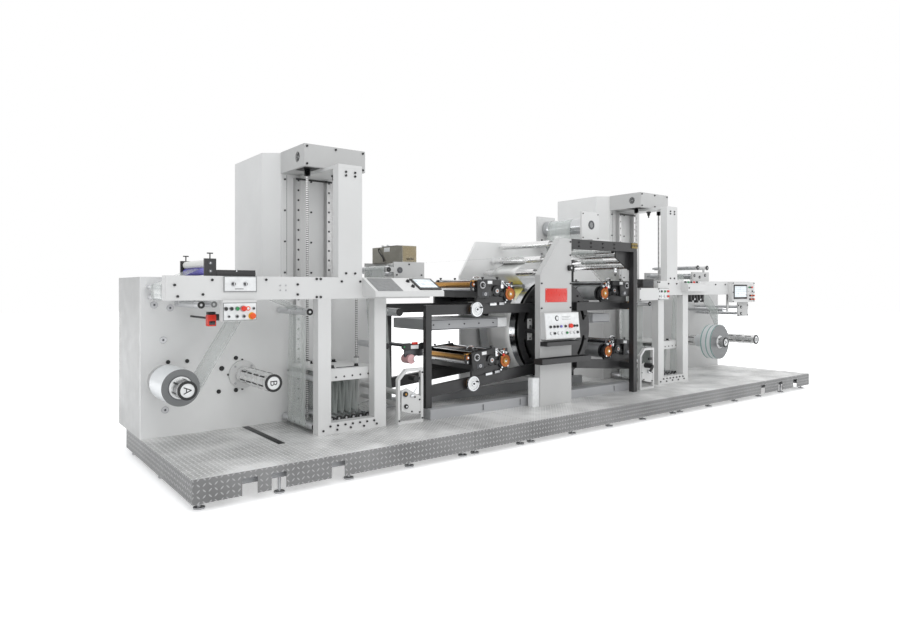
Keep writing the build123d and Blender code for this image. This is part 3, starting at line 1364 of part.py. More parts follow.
save("press_base", press_base())
save("press_post", press_post())
save("post_fittings", tool_trays() + [junction_box()])
save("drum_disc", drum_disc())
save("rear_frame", rear_frame())
save("gantry", gantry_beams() + gantry_poles())
save("impression_drum", impression_drum())
save("rail_supports", rail_uprights() + pole_brackets() + hanger_plates())
save("print_rails", [bar for level in ("upper", "lower") for side in ("left", "right")
                     for bar in print_rails(level, side)])
for level in ("upper", "lower"):
    for side in ("left", "right"):
        save(f"{level}_{side}_unit_frame", unit_frame(level, side))
        save(f"{level}_{side}_unit_rollers", unit_rollers(level, side) + unit_gears(level, side))
        save(f"{level}_{side}_handwheel", handwheel(level, side))
save("unit_cable_boxes", unit_cable_boxes())
save("press_guide_rollers", over_drum_rollers() + hanger_rollers())
save("chill_frame", chill_frame())
save("chill_roller", chill_roller())
LEFT_FRAME = (UNWINDER_MODULE - LEFT_FRAME_INSET, LEFT_FRAME_Y)
RIGHT_FRAME = (REWINDER_START - RIGHT_FRAME_INSET, RIGHT_FRAME_Y)
save("web_sensor_frames", [sensor_frame(*place) + sensor_bracket(*place) for place in (LEFT_FRAME, RIGHT_FRAME)]
     + sensor_frame_rollers(*LEFT_FRAME))
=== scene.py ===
import bmesh
import bpy
import json
import math
from mathutils import Matrix, Vector


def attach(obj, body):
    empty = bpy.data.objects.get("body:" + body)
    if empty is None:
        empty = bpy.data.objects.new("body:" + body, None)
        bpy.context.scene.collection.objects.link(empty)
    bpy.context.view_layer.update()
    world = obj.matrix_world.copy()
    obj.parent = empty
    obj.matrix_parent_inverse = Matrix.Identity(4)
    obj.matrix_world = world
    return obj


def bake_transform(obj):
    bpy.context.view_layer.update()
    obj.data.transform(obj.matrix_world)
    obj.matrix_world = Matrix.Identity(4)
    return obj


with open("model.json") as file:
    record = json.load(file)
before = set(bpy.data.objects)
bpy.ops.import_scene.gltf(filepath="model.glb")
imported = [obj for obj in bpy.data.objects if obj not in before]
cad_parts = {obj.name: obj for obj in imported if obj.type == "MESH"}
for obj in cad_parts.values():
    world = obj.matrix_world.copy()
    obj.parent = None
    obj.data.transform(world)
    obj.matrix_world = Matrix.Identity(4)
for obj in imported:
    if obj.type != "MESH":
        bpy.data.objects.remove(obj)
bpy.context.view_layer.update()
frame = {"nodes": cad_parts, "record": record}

# Rotary label press: an unwinder, two web towers, four inking units round a
# central drum and a rewinder. Lengths are millimetres from the machine's left
# end (x), the platform's front edge (y) and the floor (z), as in the CAD.
HALF_LENGTH = 4500
HALF_DEPTH = 1172.5
MACHINE = "machine_frame"
FRONT, BACK, UP = (0, -1, 0), (0, 1, 0), (0, 0, 1)

# main places across and up the machine
TOWERS = {"left": 1250, "right": 6172}
RIGHT_SHIFT = TOWERS["right"] - TOWERS["left"]
SCREW_LINES = (95, 612)
DRUM_X, DRUM_Z = 4320, 1032
CHILL_X, CHILL_Z = 4830, 2265
DECK, BEAM_LOW, TABLE = 225, 1414, 1605
UNIT_START, LOWER_SHIFT, LOWER_RAIL_X = 3080, -60, 3142
UPPER_RAIL_TOP, LOWER_RAIL_TOP = 1340, 598
RAIL_ANGLE = math.radians(4.8)
HANDWHEELS = {"upper": (3029, 1290), "lower": (2982, 529.4)}
FILM_REEL, FINISHED_ROLL = (178, 715), (7960, 695)
SHAFTS = {"unwind_spindle_a": (*FILM_REEL, "A"), "unwind_spindle_b": (875, 712, "B"),
          "rewind_spindle_a": (*FINISHED_ROLL, "A"), "rewind_spindle_b": (8860, 695, "B")}

# the faces that fittings sit on, by their distance back from the platform's front edge
POST_FACE, CONSOLE_FACE, BOX_FACE, BEAM_FACE, CHILL_FACE, HANGER_FACE = 505, 600, 640, 672, 672, 700
DRUM_DISC_FACE, TABLE_ROLLER_FACE, LOOP_ROLLER_FACE, CABLE_BOX_FACE = 775, 785, 792, 830
TREATER_FACE, HEAD_FACE, WALL, REAR_FRAME_BACK, CABINET_BACK = 900, 950, 1470, 1540, 2345
LEFT_FRAME_FACE, RIGHT_FRAME_FACE = 645, 560
SCREW_Y = 1090
WEB_FRONT, WEB_BACK = 920, 1300
# a fitting sinks this far into its face, so that no gap shows
SEAT = 0.3
# the eased edge of a small turned or round form, and the angle from which an edge looks sharp
EASE = 1.0
SHARP = math.radians(35)


def at(x, y, z):
    return Vector(((x - HALF_LENGTH) / 1000, (y - HALF_DEPTH) / 1000, z / 1000))


# finishes
MATH, MIX, SPAN = "ShaderNodeMath", "ShaderNodeMix", "ShaderNodeMapRange"
NOISE, BUMP, BEVEL = "ShaderNodeTexNoise", "ShaderNodeBump", "ShaderNodeBevel"
SPLIT, JOIN, MAPPING = "ShaderNodeSeparateXYZ", "ShaderNodeCombineXYZ", "ShaderNodeMapping"


def colour(code, share=1.0):
    """An sRGB hex value as linear red, green, blue and alpha, darkened to a share if asked."""
    parts = [int(code[i:i + 2], 16) / 255 for i in (1, 3, 5)]
    return [share * (c / 12.92 if c <= 0.04045 else ((c + 0.055) / 1.055) ** 2.4) for c in parts] + [1.0]


def fill(tree, node, inputs):
    """Sets a node's sockets, by name or in order, or links them where the value is an output."""
    for key, value in inputs.items() if isinstance(inputs, dict) else enumerate(inputs):
        if isinstance(value, bpy.types.NodeSocket):
            tree.links.new(value, node.inputs[key])
        else:
            node.inputs[key].default_value = value


def add(tree, kind, inputs, **settings):
    """Adds a node with its settings and sockets, and gives its outputs."""
    node = tree.nodes.new(kind)
    for key, value in settings.items():
        setattr(node, key, value)
    fill(tree, node, inputs)
    return node.outputs


def finish(name, **shader):
    """A new material with its tree, its surface shader and the object's own coordinates."""
    made = bpy.data.materials.new(name)
    made.use_nodes = True
    tree = made.node_tree
    surface = tree.nodes["Principled BSDF"]
    fill(tree, surface, {key.replace("_", " "): value for key, value in shader.items()})
    return made, tree, surface, add(tree, "ShaderNodeTexCoord", {})["Object"]


def tint(tree, value, low, high, a, b):
    """A colour that goes from a to b as the value goes from low to high."""
    amount = add(tree, SPAN, (value, low, high))["Result"]
    return add(tree, MIX, {"Factor": amount, 6: a, 7: b}, data_type="RGBA")[2]


def powder_coat(name, code, rough=0.42):
    """Sheet steel with a baked powder coat: even colour, soft sheen, faint orange peel."""
    made, tree, surface, place = finish(name, IOR=1.5)
    # clouds of tone over 600 mm and handling marks of 110 mm
    cloud = add(tree, NOISE, {"Vector": place, "Scale": 1.6, "Detail": 4.0})["Fac"]
    handled = add(tree, NOISE, {"Vector": place, "Scale": 9.0, "Detail": 3.0})["Fac"]
    # orange peel of 1 mm is drawn at 5 mm, the finest that shows
    peel = add(tree, NOISE, {"Vector": place, "Scale": 200.0, "Detail": 1.0})["Fac"]
    edge = add(tree, BEVEL, {"Radius": 0.003}, samples=2)["Normal"]
    fill(tree, surface, {
        "Base Color": tint(tree, cloud, 0.35, 0.7, colour(code), colour(code, 0.93)),
        "Roughness": add(tree, SPAN, (handled, 0.3, 0.7, rough - 0.06, rough + 0.08))["Result"],
        "Normal": add(tree, BUMP, {"Height": peel, "Strength": 0.06, "Distance": 0.001, "Normal": edge})["Normal"]})
    return made


def tread_plate(name, pitch=0.040):
    """Hot-rolled aluminium tread plate: crossed raised bars 40 mm apart, drawn lighter than the plate between them,
    with painted shade on the upright skirts and painted light on the deck.
    """
    made, tree, surface, place = finish(name, Metallic=0.5)
    where = add(tree, SPLIT, (place,))
    facing = add(tree, SPLIT, (add(tree, "ShaderNodeNewGeometry", {})["True Normal"],))
    end_on = add(tree, MATH, (facing["X"],), operation="ABSOLUTE")[0]
    flat = add(tree, MATH, (facing["Z"],), operation="ABSOLUTE")[0]
    # across and along the plate, whichever way it faces
    across = add(tree, MIX, {0: end_on, 2: where["X"], 3: where["Y"]})[0]
    along = add(tree, MIX, {0: flat, 2: where["Z"], 3: where["Y"]})[0]
    values = {"across": across, "along": along}
    # one bar to a square cell, leaning left and right by turns, and tapered to its ends
    for result, operation, *terms in (
            ("u", "DIVIDE", "across", pitch), ("v", "DIVIDE", "along", pitch),
            ("column", "FLOOR", "u"), ("row", "FLOOR", "v"), ("cell", "ADD", "column", "row"),
            ("odd", "FLOORED_MODULO", "cell", 2.0), ("lean", "MULTIPLY_ADD", "odd", 2.0, -1.0),
            ("u_share", "FRACT", "u"), ("v_share", "FRACT", "v"), ("du", "SUBTRACT", "u_share", 0.5),
            ("v_off", "SUBTRACT", "v_share", 0.5), ("dv", "MULTIPLY", "v_off", "lean"),
            ("sum", "ADD", "du", "dv"), ("length", "MULTIPLY", "sum", 0.7071),
            ("difference", "SUBTRACT", "du", "dv"), ("off", "MULTIPLY", "difference", 0.7071),
            ("square", "MULTIPLY", "length", "length"), ("taper", "MULTIPLY", "square", 0.80),
            ("half_width", "SUBTRACT", 0.16, "taper"), ("side", "ABSOLUTE", "off"),
            ("inside", "SUBTRACT", "half_width", "side")):
        values[result] = add(tree, MATH, [values.get(term, term) for term in terms], operation=operation)[0]
    bar = add(tree, SPAN, (values["inside"], 0.0, 0.07, 0.0, 1.0))["Result"]
    # shoes and cloths leave cloudy patches of 450 mm
    worn = add(tree, NOISE, {"Vector": place, "Scale": 2.2, "Detail": 6.0})["Fac"]
    lit_and_shaded_tones = []
    # the upright skirts first, darker as painted shade, then the deck, brighter as painted light
    for low, high, bright, dull, bar_tone in ((0.3, 0.7, "#858585", "#707070", "#a0a0a0"),
                                            (0.36, 0.64, "#f0f0ef", "#b9b9b8", "#fbfbfb")):
        ground = tint(tree, worn, low, high, colour(bright), colour(dull))
        lit_and_shaded_tones.append(add(tree, MIX, {"Factor": bar, 6: ground, 7: colour(bar_tone)}, data_type="RGBA")[2])
    fill(tree, surface, {
        # the deck's tone on level faces and the skirts' tone on upright faces: painted light and painted shade by how
        # a face turns
        "Base Color": add(tree, MIX, {"Factor": flat, 6: lit_and_shaded_tones[0], 7: lit_and_shaded_tones[1]}, data_type="RGBA")[2],
        "Roughness": add(tree, SPAN, (bar, 0.0, 1.0, 0.5, 0.3))["Result"],
        "Normal": add(tree, BUMP, {"Height": bar, "Strength": 0.8, "Distance": 0.0015})["Normal"]})
    return made


def turned_metal(name, code, rough, ring_scale=260.0):
    """Metal turned on a lathe along y: fine rings, a little duller where the web rubs."""
    made, tree, surface, place = finish(name, Metallic=1.0)
    # tool marks of 0.2 mm are drawn 4 to 8 mm apart, the finest that shows
    line = add(tree, JOIN, {"Y": add(tree, SPLIT, (place,))["Y"]})["Vector"]
    rings = add(tree, NOISE, {"Vector": line, "Scale": ring_scale, "Detail": 3.0})["Fac"]
    smudge = add(tree, NOISE, {"Vector": place, "Scale": 14.0, "Detail": 4.0})["Fac"]
    fill(tree, surface, {
        "Base Color": tint(tree, rings, 0.25, 0.75, colour(code), colour(code, 0.82)),
        "Roughness": add(tree, SPAN, (smudge, 0.3, 0.7, rough, rough + 0.14))["Result"],
        "Normal": add(tree, BUMP, {"Height": rings, "Strength": 0.1, "Distance": 0.0004})["Normal"]})
    return made


def ground_steel(name, code="#b9babc", rough=0.34):
    """Ground or milled steel: short grain one way and oily patches."""
    made, tree, surface, place = finish(name, Metallic=1.0)
    # scratches of 0.1 mm by 5 mm are drawn at 1.7 mm by 25 mm, so that they show
    stretched = add(tree, MAPPING, {"Vector": place, "Scale": (40.0, 40.0, 600.0)})["Vector"]
    grain = add(tree, NOISE, {"Vector": stretched, "Scale": 1.0, "Detail": 3.0})["Fac"]
    patch = add(tree, NOISE, {"Vector": place, "Scale": 11.0, "Detail": 4.0})["Fac"]
    edge = add(tree, BEVEL, {"Radius": 0.0015}, samples=2)["Normal"]
    fill(tree, surface, {
        "Base Color": tint(tree, patch, 0.3, 0.75, colour(code), colour(code, 0.8)),
        "Roughness": add(tree, SPAN, (grain, 0.3, 0.7, rough, rough + 0.15))["Result"],
        "Normal": add(tree, BUMP, {"Height": grain, "Strength": 0.12, "Distance": 0.0004, "Normal": edge})["Normal"]})
    return made


def moulded(name, code, rough=0.4, grain=900.0, **shader):
    """Moulded plastic, enamel or rubber: one body colour with a fine cast texture."""
    made, tree, surface, place = finish(name, IOR=1.5, **shader)
    # flow marks of 33 mm, and a mould texture of 1 mm, coarser where a caller gives a smaller grain
    tone = add(tree, NOISE, {"Vector": place, "Scale": 30.0, "Detail": 3.0})["Fac"]
    cast = add(tree, NOISE, {"Vector": place, "Scale": grain, "Detail": 1.0})["Fac"]
    fill(tree, surface, {
        "Base Color": tint(tree, tone, 0.3, 0.7, colour(code), colour(code, 0.88)),
        "Roughness": add(tree, SPAN, (tone, 0.3, 0.7, rough - 0.05, rough + 0.07))["Result"],
        "Normal": add(tree, BUMP, {"Height": cast, "Strength": 0.08, "Distance": 0.0005})["Normal"]})
    return made


def wound_film(name, x, z):
    """Film wound on a core: rings on the ends where the layers' edges show, a glossy outside."""
    made, tree, surface, place = finish(name, Roughness=0.28, IOR=1.5)
    centre = at(x, 0, z)
    off = add(tree, MAPPING, {"Vector": place, "Location": (-centre.x, 0, -centre.z), "Scale": (1, 0, 1)})["Vector"]
    radius = add(tree, "ShaderNodeVectorMath", (off,), operation="LENGTH")["Value"]
    # layers of 0.1 mm are drawn in bands of 2.4 mm
    line = add(tree, JOIN, {"X": radius})["Vector"]
    layers = add(tree, NOISE, {"Vector": line, "Scale": 420.0, "Detail": 4.0})["Fac"]
    facing = add(tree, SPLIT, (add(tree, "ShaderNodeNewGeometry", {})["True Normal"],))
    end_on = add(tree, MATH, (facing["Y"],), operation="ABSOLUTE")[0]
    outside = tint(tree, layers, 0.3, 0.7, colour("#eceeef"), colour("#cfd3d5"))
    edges = tint(tree, layers, 0.35, 0.65, colour("#7d7f80"), colour("#5a5c5d"))
    fill(tree, surface, {
        "Base Color": add(tree, MIX, {"Factor": end_on, 6: outside, 7: edges}, data_type="RGBA")[2],
        "Normal": add(tree, BUMP, {"Height": layers, "Strength": 0.25, "Distance": 0.0005})["Normal"]})
    return made


def tight_film(name, code, alpha=1.0, rough=0.12, ink=None):
    """Plastic film pulled tight: thin, glossy, with slack bands along it, clear or printed with ink."""
    made, tree, surface, place = finish(name, Roughness=rough, IOR=1.5, Alpha=alpha)
    where = add(tree, SPLIT, (place,))
    # slack bands of 36 mm across the web
    line = add(tree, JOIN, {"Y": where["Y"]})["Vector"]
    bands = add(tree, NOISE, {"Vector": line, "Scale": 28.0, "Detail": 2.0})["Fac"]
    if ink:
        # the print shows where the web comes down on the drum, on its front half; its edges fade
        inked = 1.0
        for axis, start, end in (("Z", 1.36, 1.46), ("Z", 1.66, 1.58), ("X", -0.28, -0.36), ("Y", -0.02, -0.08)):
            share = add(tree, SPAN, (where[axis], start, end))["Result"]
            inked = add(tree, MATH, (inked, share), operation="MULTIPLY")[0]
        tone = add(tree, MIX, {"Factor": inked, 6: colour(code), 7: colour(ink)}, data_type="RGBA")[2]
    else:
        tone = tint(tree, bands, 0.3, 0.7, colour(code), colour(code, 0.9))
    bump = add(tree, BUMP, {"Height": bands, "Strength": 0.2, "Distance": 0.001})["Normal"]
    fill(tree, surface, {"Base Color": tone, "Normal": bump})
    return made


def nip_roller(name, parting):
    """Two rubber rollers in one piece: white above the parting height, violet blue below."""
    made, tree, surface, place = finish(name, Roughness=0.45, IOR=1.5)
    above = add(tree, MATH, (add(tree, SPLIT, (place,))["Z"], parting), operation="GREATER_THAN")[0]
    # ground rubber's texture of 0.5 mm is drawn at 2 mm
    cast = add(tree, NOISE, {"Vector": place, "Scale": 500.0, "Detail": 1.0})["Fac"]
    fill(tree, surface, {
        "Base Color": add(tree, MIX, {"Factor": above, 6: colour("#6d66c4"), 7: colour("#e4e4e0")},
                          data_type="RGBA")[2],
        "Normal": add(tree, BUMP, {"Height": cast, "Strength": 0.08, "Distance": 0.0005})["Normal"]})
    return made


def guide_steel(name, behind, pitch):
    """Lift guides: plain ground rails at the back, screws with a thread in front of them, the thread's grooves
    darkened as painted shade.
    """
    made, tree, surface, place = finish(name, Metallic=1.0)
    where = add(tree, SPLIT, (place,))
    turns = add(tree, MATH, (where["Z"], 2 * math.pi / pitch), operation="MULTIPLY")[0]
    wave = add(tree, MATH, (turns,), operation="SINE")[0]
    in_front = add(tree, MATH, (where["Y"], behind), operation="LESS_THAN")[0]
    thread = add(tree, MATH, (wave, in_front), operation="MULTIPLY")[0]
    patch = add(tree, NOISE, {"Vector": place, "Scale": 11.0, "Detail": 4.0})["Fac"]
    edge = add(tree, BEVEL, {"Radius": 0.0015}, samples=2)["Normal"]
    # the thread's grooves are painted dark and its crests light: painted shade of the grooves
    fill(tree, surface, {
        "Base Color": tint(tree, thread, -0.2, 0.5, colour("#dcdcdc"), colour("#4c4c4c")),
        "Roughness": add(tree, SPAN, (patch, 0.3, 0.7, 0.28, 0.4))["Result"],
        "Normal": add(tree, BUMP, {"Height": thread, "Strength": 0.6, "Distance": 0.002, "Normal": edge})["Normal"]})
    return made


def lit_screen(name, code, strength):
    """A lit panel behind glass: rows of plain fields on a pale ground, gently glowing."""
    made, tree, surface, place = finish(name, Roughness=0.12, IOR=1.5, Emission_Strength=strength)
    upright = add(tree, MAPPING, {"Vector": place, "Rotation": (math.pi / 2, 0, 0)})["Vector"]
    # fields of 55 by 30 mm with gaps of 4 mm
    fields = add(tree, "ShaderNodeTexBrick", {
        "Vector": upright, "Scale": 1.0, "Brick Width": 0.055, "Row Height": 0.030, "Mortar Size": 0.004,
        "Color1": colour(code), "Color2": colour(code, 0.8), "Mortar": colour("#eef4f7")}, offset=0.0)["Color"]
    fill(tree, surface, {"Base Color": fields, "Emission Color": fields})
    return made


LIGHT_GREY = powder_coat("light_grey_powder_coat", "#d6d6d5")
MID_GREY = powder_coat("mid_grey_powder_coat", "#a7a8aa")
BLACK_PAINT = powder_coat("black_satin_paint", "#2a2a2b", 0.36)
TREAD_PLATE = tread_plate("aluminium_tread_plate")
GROUND_STEEL = ground_steel("ground_steel")
DARK_STEEL = ground_steel("oiled_dark_steel", "#5b5c5f", 0.38)
AGED_BRASS = ground_steel("aged_brass_bracket", "#8a7a50", 0.4)
ROLLER_ALUMINIUM = turned_metal("anodised_turned_aluminium", "#dcdddf", 0.24)
BRIGHT_SHAFT = turned_metal("bright_expanding_shaft", "#f6f6f6", 0.2, 120.0)
CHROME = turned_metal("polished_chrome_plate", "#d4d6d8", 0.07, 120.0)
BRASS = turned_metal("turned_brass", "#b98a4a", 0.25)
COPPER_TINT = turned_metal("copper_faced_roller", "#a8663f", 0.3)
INK_RUBBER = moulded("black_ink_roller_rubber", "#17181a", 0.3, 500.0)
GREY_MAT = moulded("grey_ribbed_rubber_mat", "#8f9090", 0.7, 250.0)
BLACK_PLASTIC = moulded("black_moulded_plastic", "#161718", 0.45)
WHITE_PLASTIC = moulded("white_moulded_plastic", "#eceded", 0.35)
RED_PLASTIC = moulded("red_moulded_plastic", "#e2301c", 0.3)
GREEN_PLASTIC = moulded("green_moulded_plastic", "#1f8a4c", 0.3)
VIOLET_PLASTIC = moulded("violet_moulded_plastic", "#6b5fc0", 0.3)
YELLOW_PLASTIC = moulded("yellow_moulded_plastic", "#e8b81c", 0.3)
ORANGE_PLASTIC = moulded("orange_moulded_plastic", "#ee5a1c", 0.35)
RED_ENAMEL = moulded("red_enamelled_plate", "#d8352c", 0.3, 200.0)
SCREEN_GLASS = moulded("dark_screen_glass", "#1b2226", 0.08, 60.0)
CLEAR_PINK = moulded("clear_pink_print_cylinder", "#d9a9ab", 0.15, 60.0)
SMOKED_COVER = moulded("smoked_acrylic_cover", "#a8966c", 0.15, 60.0, Alpha=0.55)
BLUE_SCREEN = lit_screen("lit_operator_screen", "#dfe9ee", 0.12)
CLEAR_FILM = tight_film("clear_web_film", "#e6ebe8", 0.34)
TINTED_FILM = tight_film("blue_green_wound_film", "#8fb8b3", 0.9)
PRINTED_FILM = tight_film("white_film_printed_yellow", "#f8f8f6", rough=0.25, ink="#fff08c")

SLOT_FINISH = {
    "light_grey_paint": LIGHT_GREY, "mid_grey_paint": MID_GREY, "checker_plate": TREAD_PLATE,
    "bare_steel": GROUND_STEEL, "roller_aluminium": ROLLER_ALUMINIUM, "chrome": CHROME,
    "black_paint": BLACK_PAINT, "ink_rubber": INK_RUBBER, "black_plastic": BLACK_PLASTIC,
}
# some housings get paler or darker copies of their slot's grey paint: painted light on the lit ones and painted shade
# on those in shade
NODE_FINISH = {
    "film_reel": wound_film("wound_clear_film_reel", *FILM_REEL),
    "finished_roll": wound_film("wound_finished_roll", *FINISHED_ROLL),
    "nip_rollers": nip_roller("white_and_violet_nip_rubber", 1.6755),
    "lift_guides": guide_steel("lift_rails_and_threaded_screws", 0.0275, 0.018),
    "tower_heads": powder_coat("head_powder_coat", "#bdbdbc"),
    # the unwinder wall a paler copy of the grey paint as painted light, the rewinder wall a darker copy as painted
    # shade
    "unwinder_wall": powder_coat("lit_wall_powder_coat", "#e9e9e8"),
    "rewinder_wall": powder_coat("shaded_wall_powder_coat", "#bdbdbc"),
    "press_base": MID_GREY,
    "press_post": powder_coat("post_powder_coat", "#bfbfbe"),
    "rear_cabinets": powder_coat("cabinet_powder_coat", "#b6b6b5"),
    "rear_frame": powder_coat("frame_powder_coat", "#efefee"),
    "unwind_mandrel_a": BRIGHT_SHAFT, "unwind_mandrel_b": BRIGHT_SHAFT,
    "rewind_mandrel_a": BRIGHT_SHAFT, "rewind_mandrel_b": BRIGHT_SHAFT,
    "press_guide_rollers": BRIGHT_SHAFT,
    "tower_housings": powder_coat("housing_powder_coat", "#dededd"),
    "base_frame": MID_GREY,
    "treater_box": ground_steel("warm_grey_treater_steel", "#a3a097", 0.4),
    "table_side_plates": powder_coat("plate_grey_powder_coat", "#bdbdbc"),
}
slot_of = {part["node"]: part["material_slot"] for part in frame["record"]["subparts"]}
for name, node in frame["nodes"].items():
    node.data.materials.clear()
    node.data.materials.append(NODE_FINISH.get(name) or SLOT_FINISH[slot_of[name]])


# shape makers
class Piece:
    """A piece in the making: its forms share one mesh, each with its own finish."""

    def __init__(self, name):
        self.name = name
        self.verts, self.faces, self.marks, self.finishes = [], [], [], []

    def join(self, form, surface, place=None):
        bmesh.ops.recalc_face_normals(form, faces=form.faces)
        if place is not None:
            bmesh.ops.transform(form, matrix=place, verts=form.verts)
        form.verts.index_update()
        start = len(self.verts)
        if surface not in self.finishes:
            self.finishes.append(surface)
        self.verts += [v.co.copy() for v in form.verts]
        for face in form.faces:
            self.faces.append([start + v.index for v in face.verts])
            self.marks.append(self.finishes.index(surface))
        form.free()

    def block(self, x0, x1, y0, y1, z0, z1, surface, bevel=2.0, turn=None):
        """A box with eased edges, turned about its own middle if asked."""
        form = bmesh.new()
        bmesh.ops.create_cube(form, size=1)
        for v in form.verts:
            v.co = Vector((v.co.x * (x1 - x0), v.co.y * (y1 - y0), v.co.z * (z1 - z0)))
        if bevel:
            bmesh.ops.bevel(form, geom=list(form.edges), offset=bevel, segments=2, affect="EDGES", profile=0.5)
        place = Matrix.Translation(((x0 + x1) / 2, (y0 + y1) / 2, (z0 + z1) / 2))
        if turn is not None:
            place = place @ turn.to_4x4()
        self.join(form, surface, place)

    def lathe(self, profile, centre, axis, surface, sides=32):
        """A profile of radius and distance spun about an axis through the centre."""
        form = bmesh.new()
        rings = []
        for r, along in profile:
            if r <= 0:
                rings.append([form.verts.new((0, 0, along))])
                continue
            ring = []
            for i in range(sides):
                a = 2 * math.pi * i / sides
                ring.append(form.verts.new((r * math.cos(a), r * math.sin(a), along)))
            rings.append(ring)
        for a, b in zip(rings[:-1], rings[1:]):
            for i in range(sides):
                j = (i + 1) % sides
                near = a[:1] if len(a) == 1 else [a[i], a[j]]
                far = b[:1] if len(b) == 1 else [b[j], b[i]]
                if len(near) + len(far) > 2:
                    form.faces.new(near + far)
        turn = Vector(axis).to_track_quat("Z", "X").to_matrix().to_4x4()
        self.join(form, surface, Matrix.Translation(centre) @ turn)

    def rod(self, start, end, r, surface, ease=EASE, sides=24):
        """A round bar between two points with eased ends."""
        start, end = Vector(start), Vector(end)
        length = (end - start).length
        ease = min(ease, r / 2, length / 3)
        profile = [(0, 0), (r - ease, 0), (r, ease), (r, length - ease), (r - ease, length), (0, length)]
        self.lathe(profile, start, end - start, surface, sides)

    def prism(self, outline, low, high, surface, bevel=1.5, flat="xz"):
        """An outline in x and z, or in y and z, between two places across it."""
        form = bmesh.new()

        def corner(p, q, s):
            return (p, s, q) if flat == "xz" else (s, p, q)

        one = [form.verts.new(corner(p, q, low)) for p, q in outline]
        two = [form.verts.new(corner(p, q, high)) for p, q in outline]
        form.faces.new(one)
        form.faces.new(two)
        for i in range(len(one)):
            j = (i + 1) % len(one)
            form.faces.new([one[i], one[j], two[j], two[i]])
        if bevel:
            bmesh.ops.recalc_face_normals(form, faces=form.faces)
            bmesh.ops.bevel(form, geom=list(form.edges), offset=bevel, segments=2, affect="EDGES", profile=0.5)
        self.join(form, surface)

    def hose(self, points, r, surface, sides=10):
        """A round hose or wire on a smooth line through the points, eight steps between two."""
        steps = 8
        points = [Vector(p) for p in points]
        ends = [2 * points[0] - points[1]] + points + [2 * points[-1] - points[-2]]
        line = []
        for i in range(1, len(ends) - 2):
            a, b, c, d = ends[i - 1:i + 3]
            for k in range(steps):
                t = k / steps
                line.append(0.5 * (2 * b + (c - a) * t + (2 * a - 5 * b + 4 * c - d) * t * t
                                   + (3 * b - a - 3 * c + d) * t ** 3))
        line.append(points[-1])
        form = bmesh.new()
        rings = []
        side = None
        for i, p in enumerate(line):
            way = (line[min(i + 1, len(line) - 1)] - line[max(i - 1, 0)]).normalized()
            side = (side or way.orthogonal())
            side = (side - way * side.dot(way)).normalized()
            up = way.cross(side)
            rings.append([form.verts.new(p + r * (math.cos(2 * math.pi * k / sides) * side
                                                  + math.sin(2 * math.pi * k / sides) * up)) for k in range(sides)])
        for a, b in zip(rings[:-1], rings[1:]):
            for i in range(sides):
                j = (i + 1) % sides
                form.faces.new([a[i], a[j], b[j], b[i]])
        form.faces.new(rings[0])
        form.faces.new(rings[-1])
        self.join(form, surface)

    def letter(self, sign, centre, height, surface):
        """A plain printed letter that faces the front, a quarter turn clockwise."""
        curve = bpy.data.curves.new(self.name + "_sign", "FONT")
        curve.body = sign
        curve.size = height
        curve.align_x = "CENTER"
        curve.align_y = "CENTER"
        curve.extrude = 0.3
        thing = bpy.data.objects.new(self.name + "_sign", curve)
        bpy.context.scene.collection.objects.link(thing)
        bpy.context.view_layer.update()
        mesh = bpy.data.meshes.new_from_object(thing.evaluated_get(bpy.context.evaluated_depsgraph_get()))
        form = bmesh.new()
        form.from_mesh(mesh)
        bmesh.ops.remove_doubles(form, verts=form.verts, dist=0.001)
        bpy.data.objects.remove(thing)
        bpy.data.meshes.remove(mesh)
        bpy.data.curves.remove(curve)
        turn = Matrix.Rotation(math.pi / 2, 4, "Y") @ Matrix.Rotation(math.pi / 2, 4, "X")
        self.join(form, surface, Matrix.Translation(centre) @ turn)

    def placed(self, matrix):
        """Moves the whole piece, and turns its faces round where the move mirrors it."""
        self.verts = [matrix @ v for v in self.verts]
        if matrix.determinant() < 0:
            self.faces = [face[::-1] for face in self.faces]

    def done(self, slot, body=MACHINE):
        """The finished piece, in metres, riding on its body."""
        mesh = bpy.data.meshes.new(self.name)
        mesh.from_pydata([at(*v) for v in self.verts], [], self.faces)
        for surface in self.finishes:
            mesh.materials.append(surface)
        mesh.polygons.foreach_set("material_index", self.marks)
        mesh.shade_smooth()
        mesh.set_sharp_from_angle(angle=SHARP)
        made = bpy.data.objects.new(self.name, mesh)
        bpy.context.scene.collection.objects.link(made)
        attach(made, body)
        return made


def repeat_tree(surface):
    """Copies of one small form on points, turned as each point says, made one mesh with its finish."""
    tree = bpy.data.node_groups.new("repeat_on_points", "GeometryNodeTree")
    for socket, kind in (("Geometry", "Geometry"), ("Form", "Object"), ("Size", "Float")):
        tree.interface.new_socket(socket, in_out="INPUT", socket_type="NodeSocket" + kind)
    tree.interface.new_socket("Geometry", in_out="OUTPUT", socket_type="NodeSocketGeometry")
    inlet = add(tree, "NodeGroupInput", {})
    form = add(tree, "GeometryNodeObjectInfo", {"Object": inlet["Form"]})["Geometry"]
    facing = add(tree, "GeometryNodeInputNamedAttribute", {"Name": "facing"}, data_type="FLOAT_VECTOR")["Attribute"]
    turn = add(tree, "FunctionNodeAlignRotationToVector", {"Vector": facing}, axis="Z")["Rotation"]
    scale = add(tree, JOIN, [inlet["Size"]] * 3)["Vector"]
    copies = add(tree, "GeometryNodeInstanceOnPoints", {
        "Points": inlet["Geometry"], "Instance": form, "Rotation": turn, "Scale": scale})["Instances"]
    real = add(tree, "GeometryNodeRealizeInstances", {"Geometry": copies})["Geometry"]
    coated = add(tree, "GeometryNodeSetMaterial", {"Geometry": real, "Material": surface})["Geometry"]
    add(tree, "NodeGroupOutput", {"Geometry": coated})
    return tree


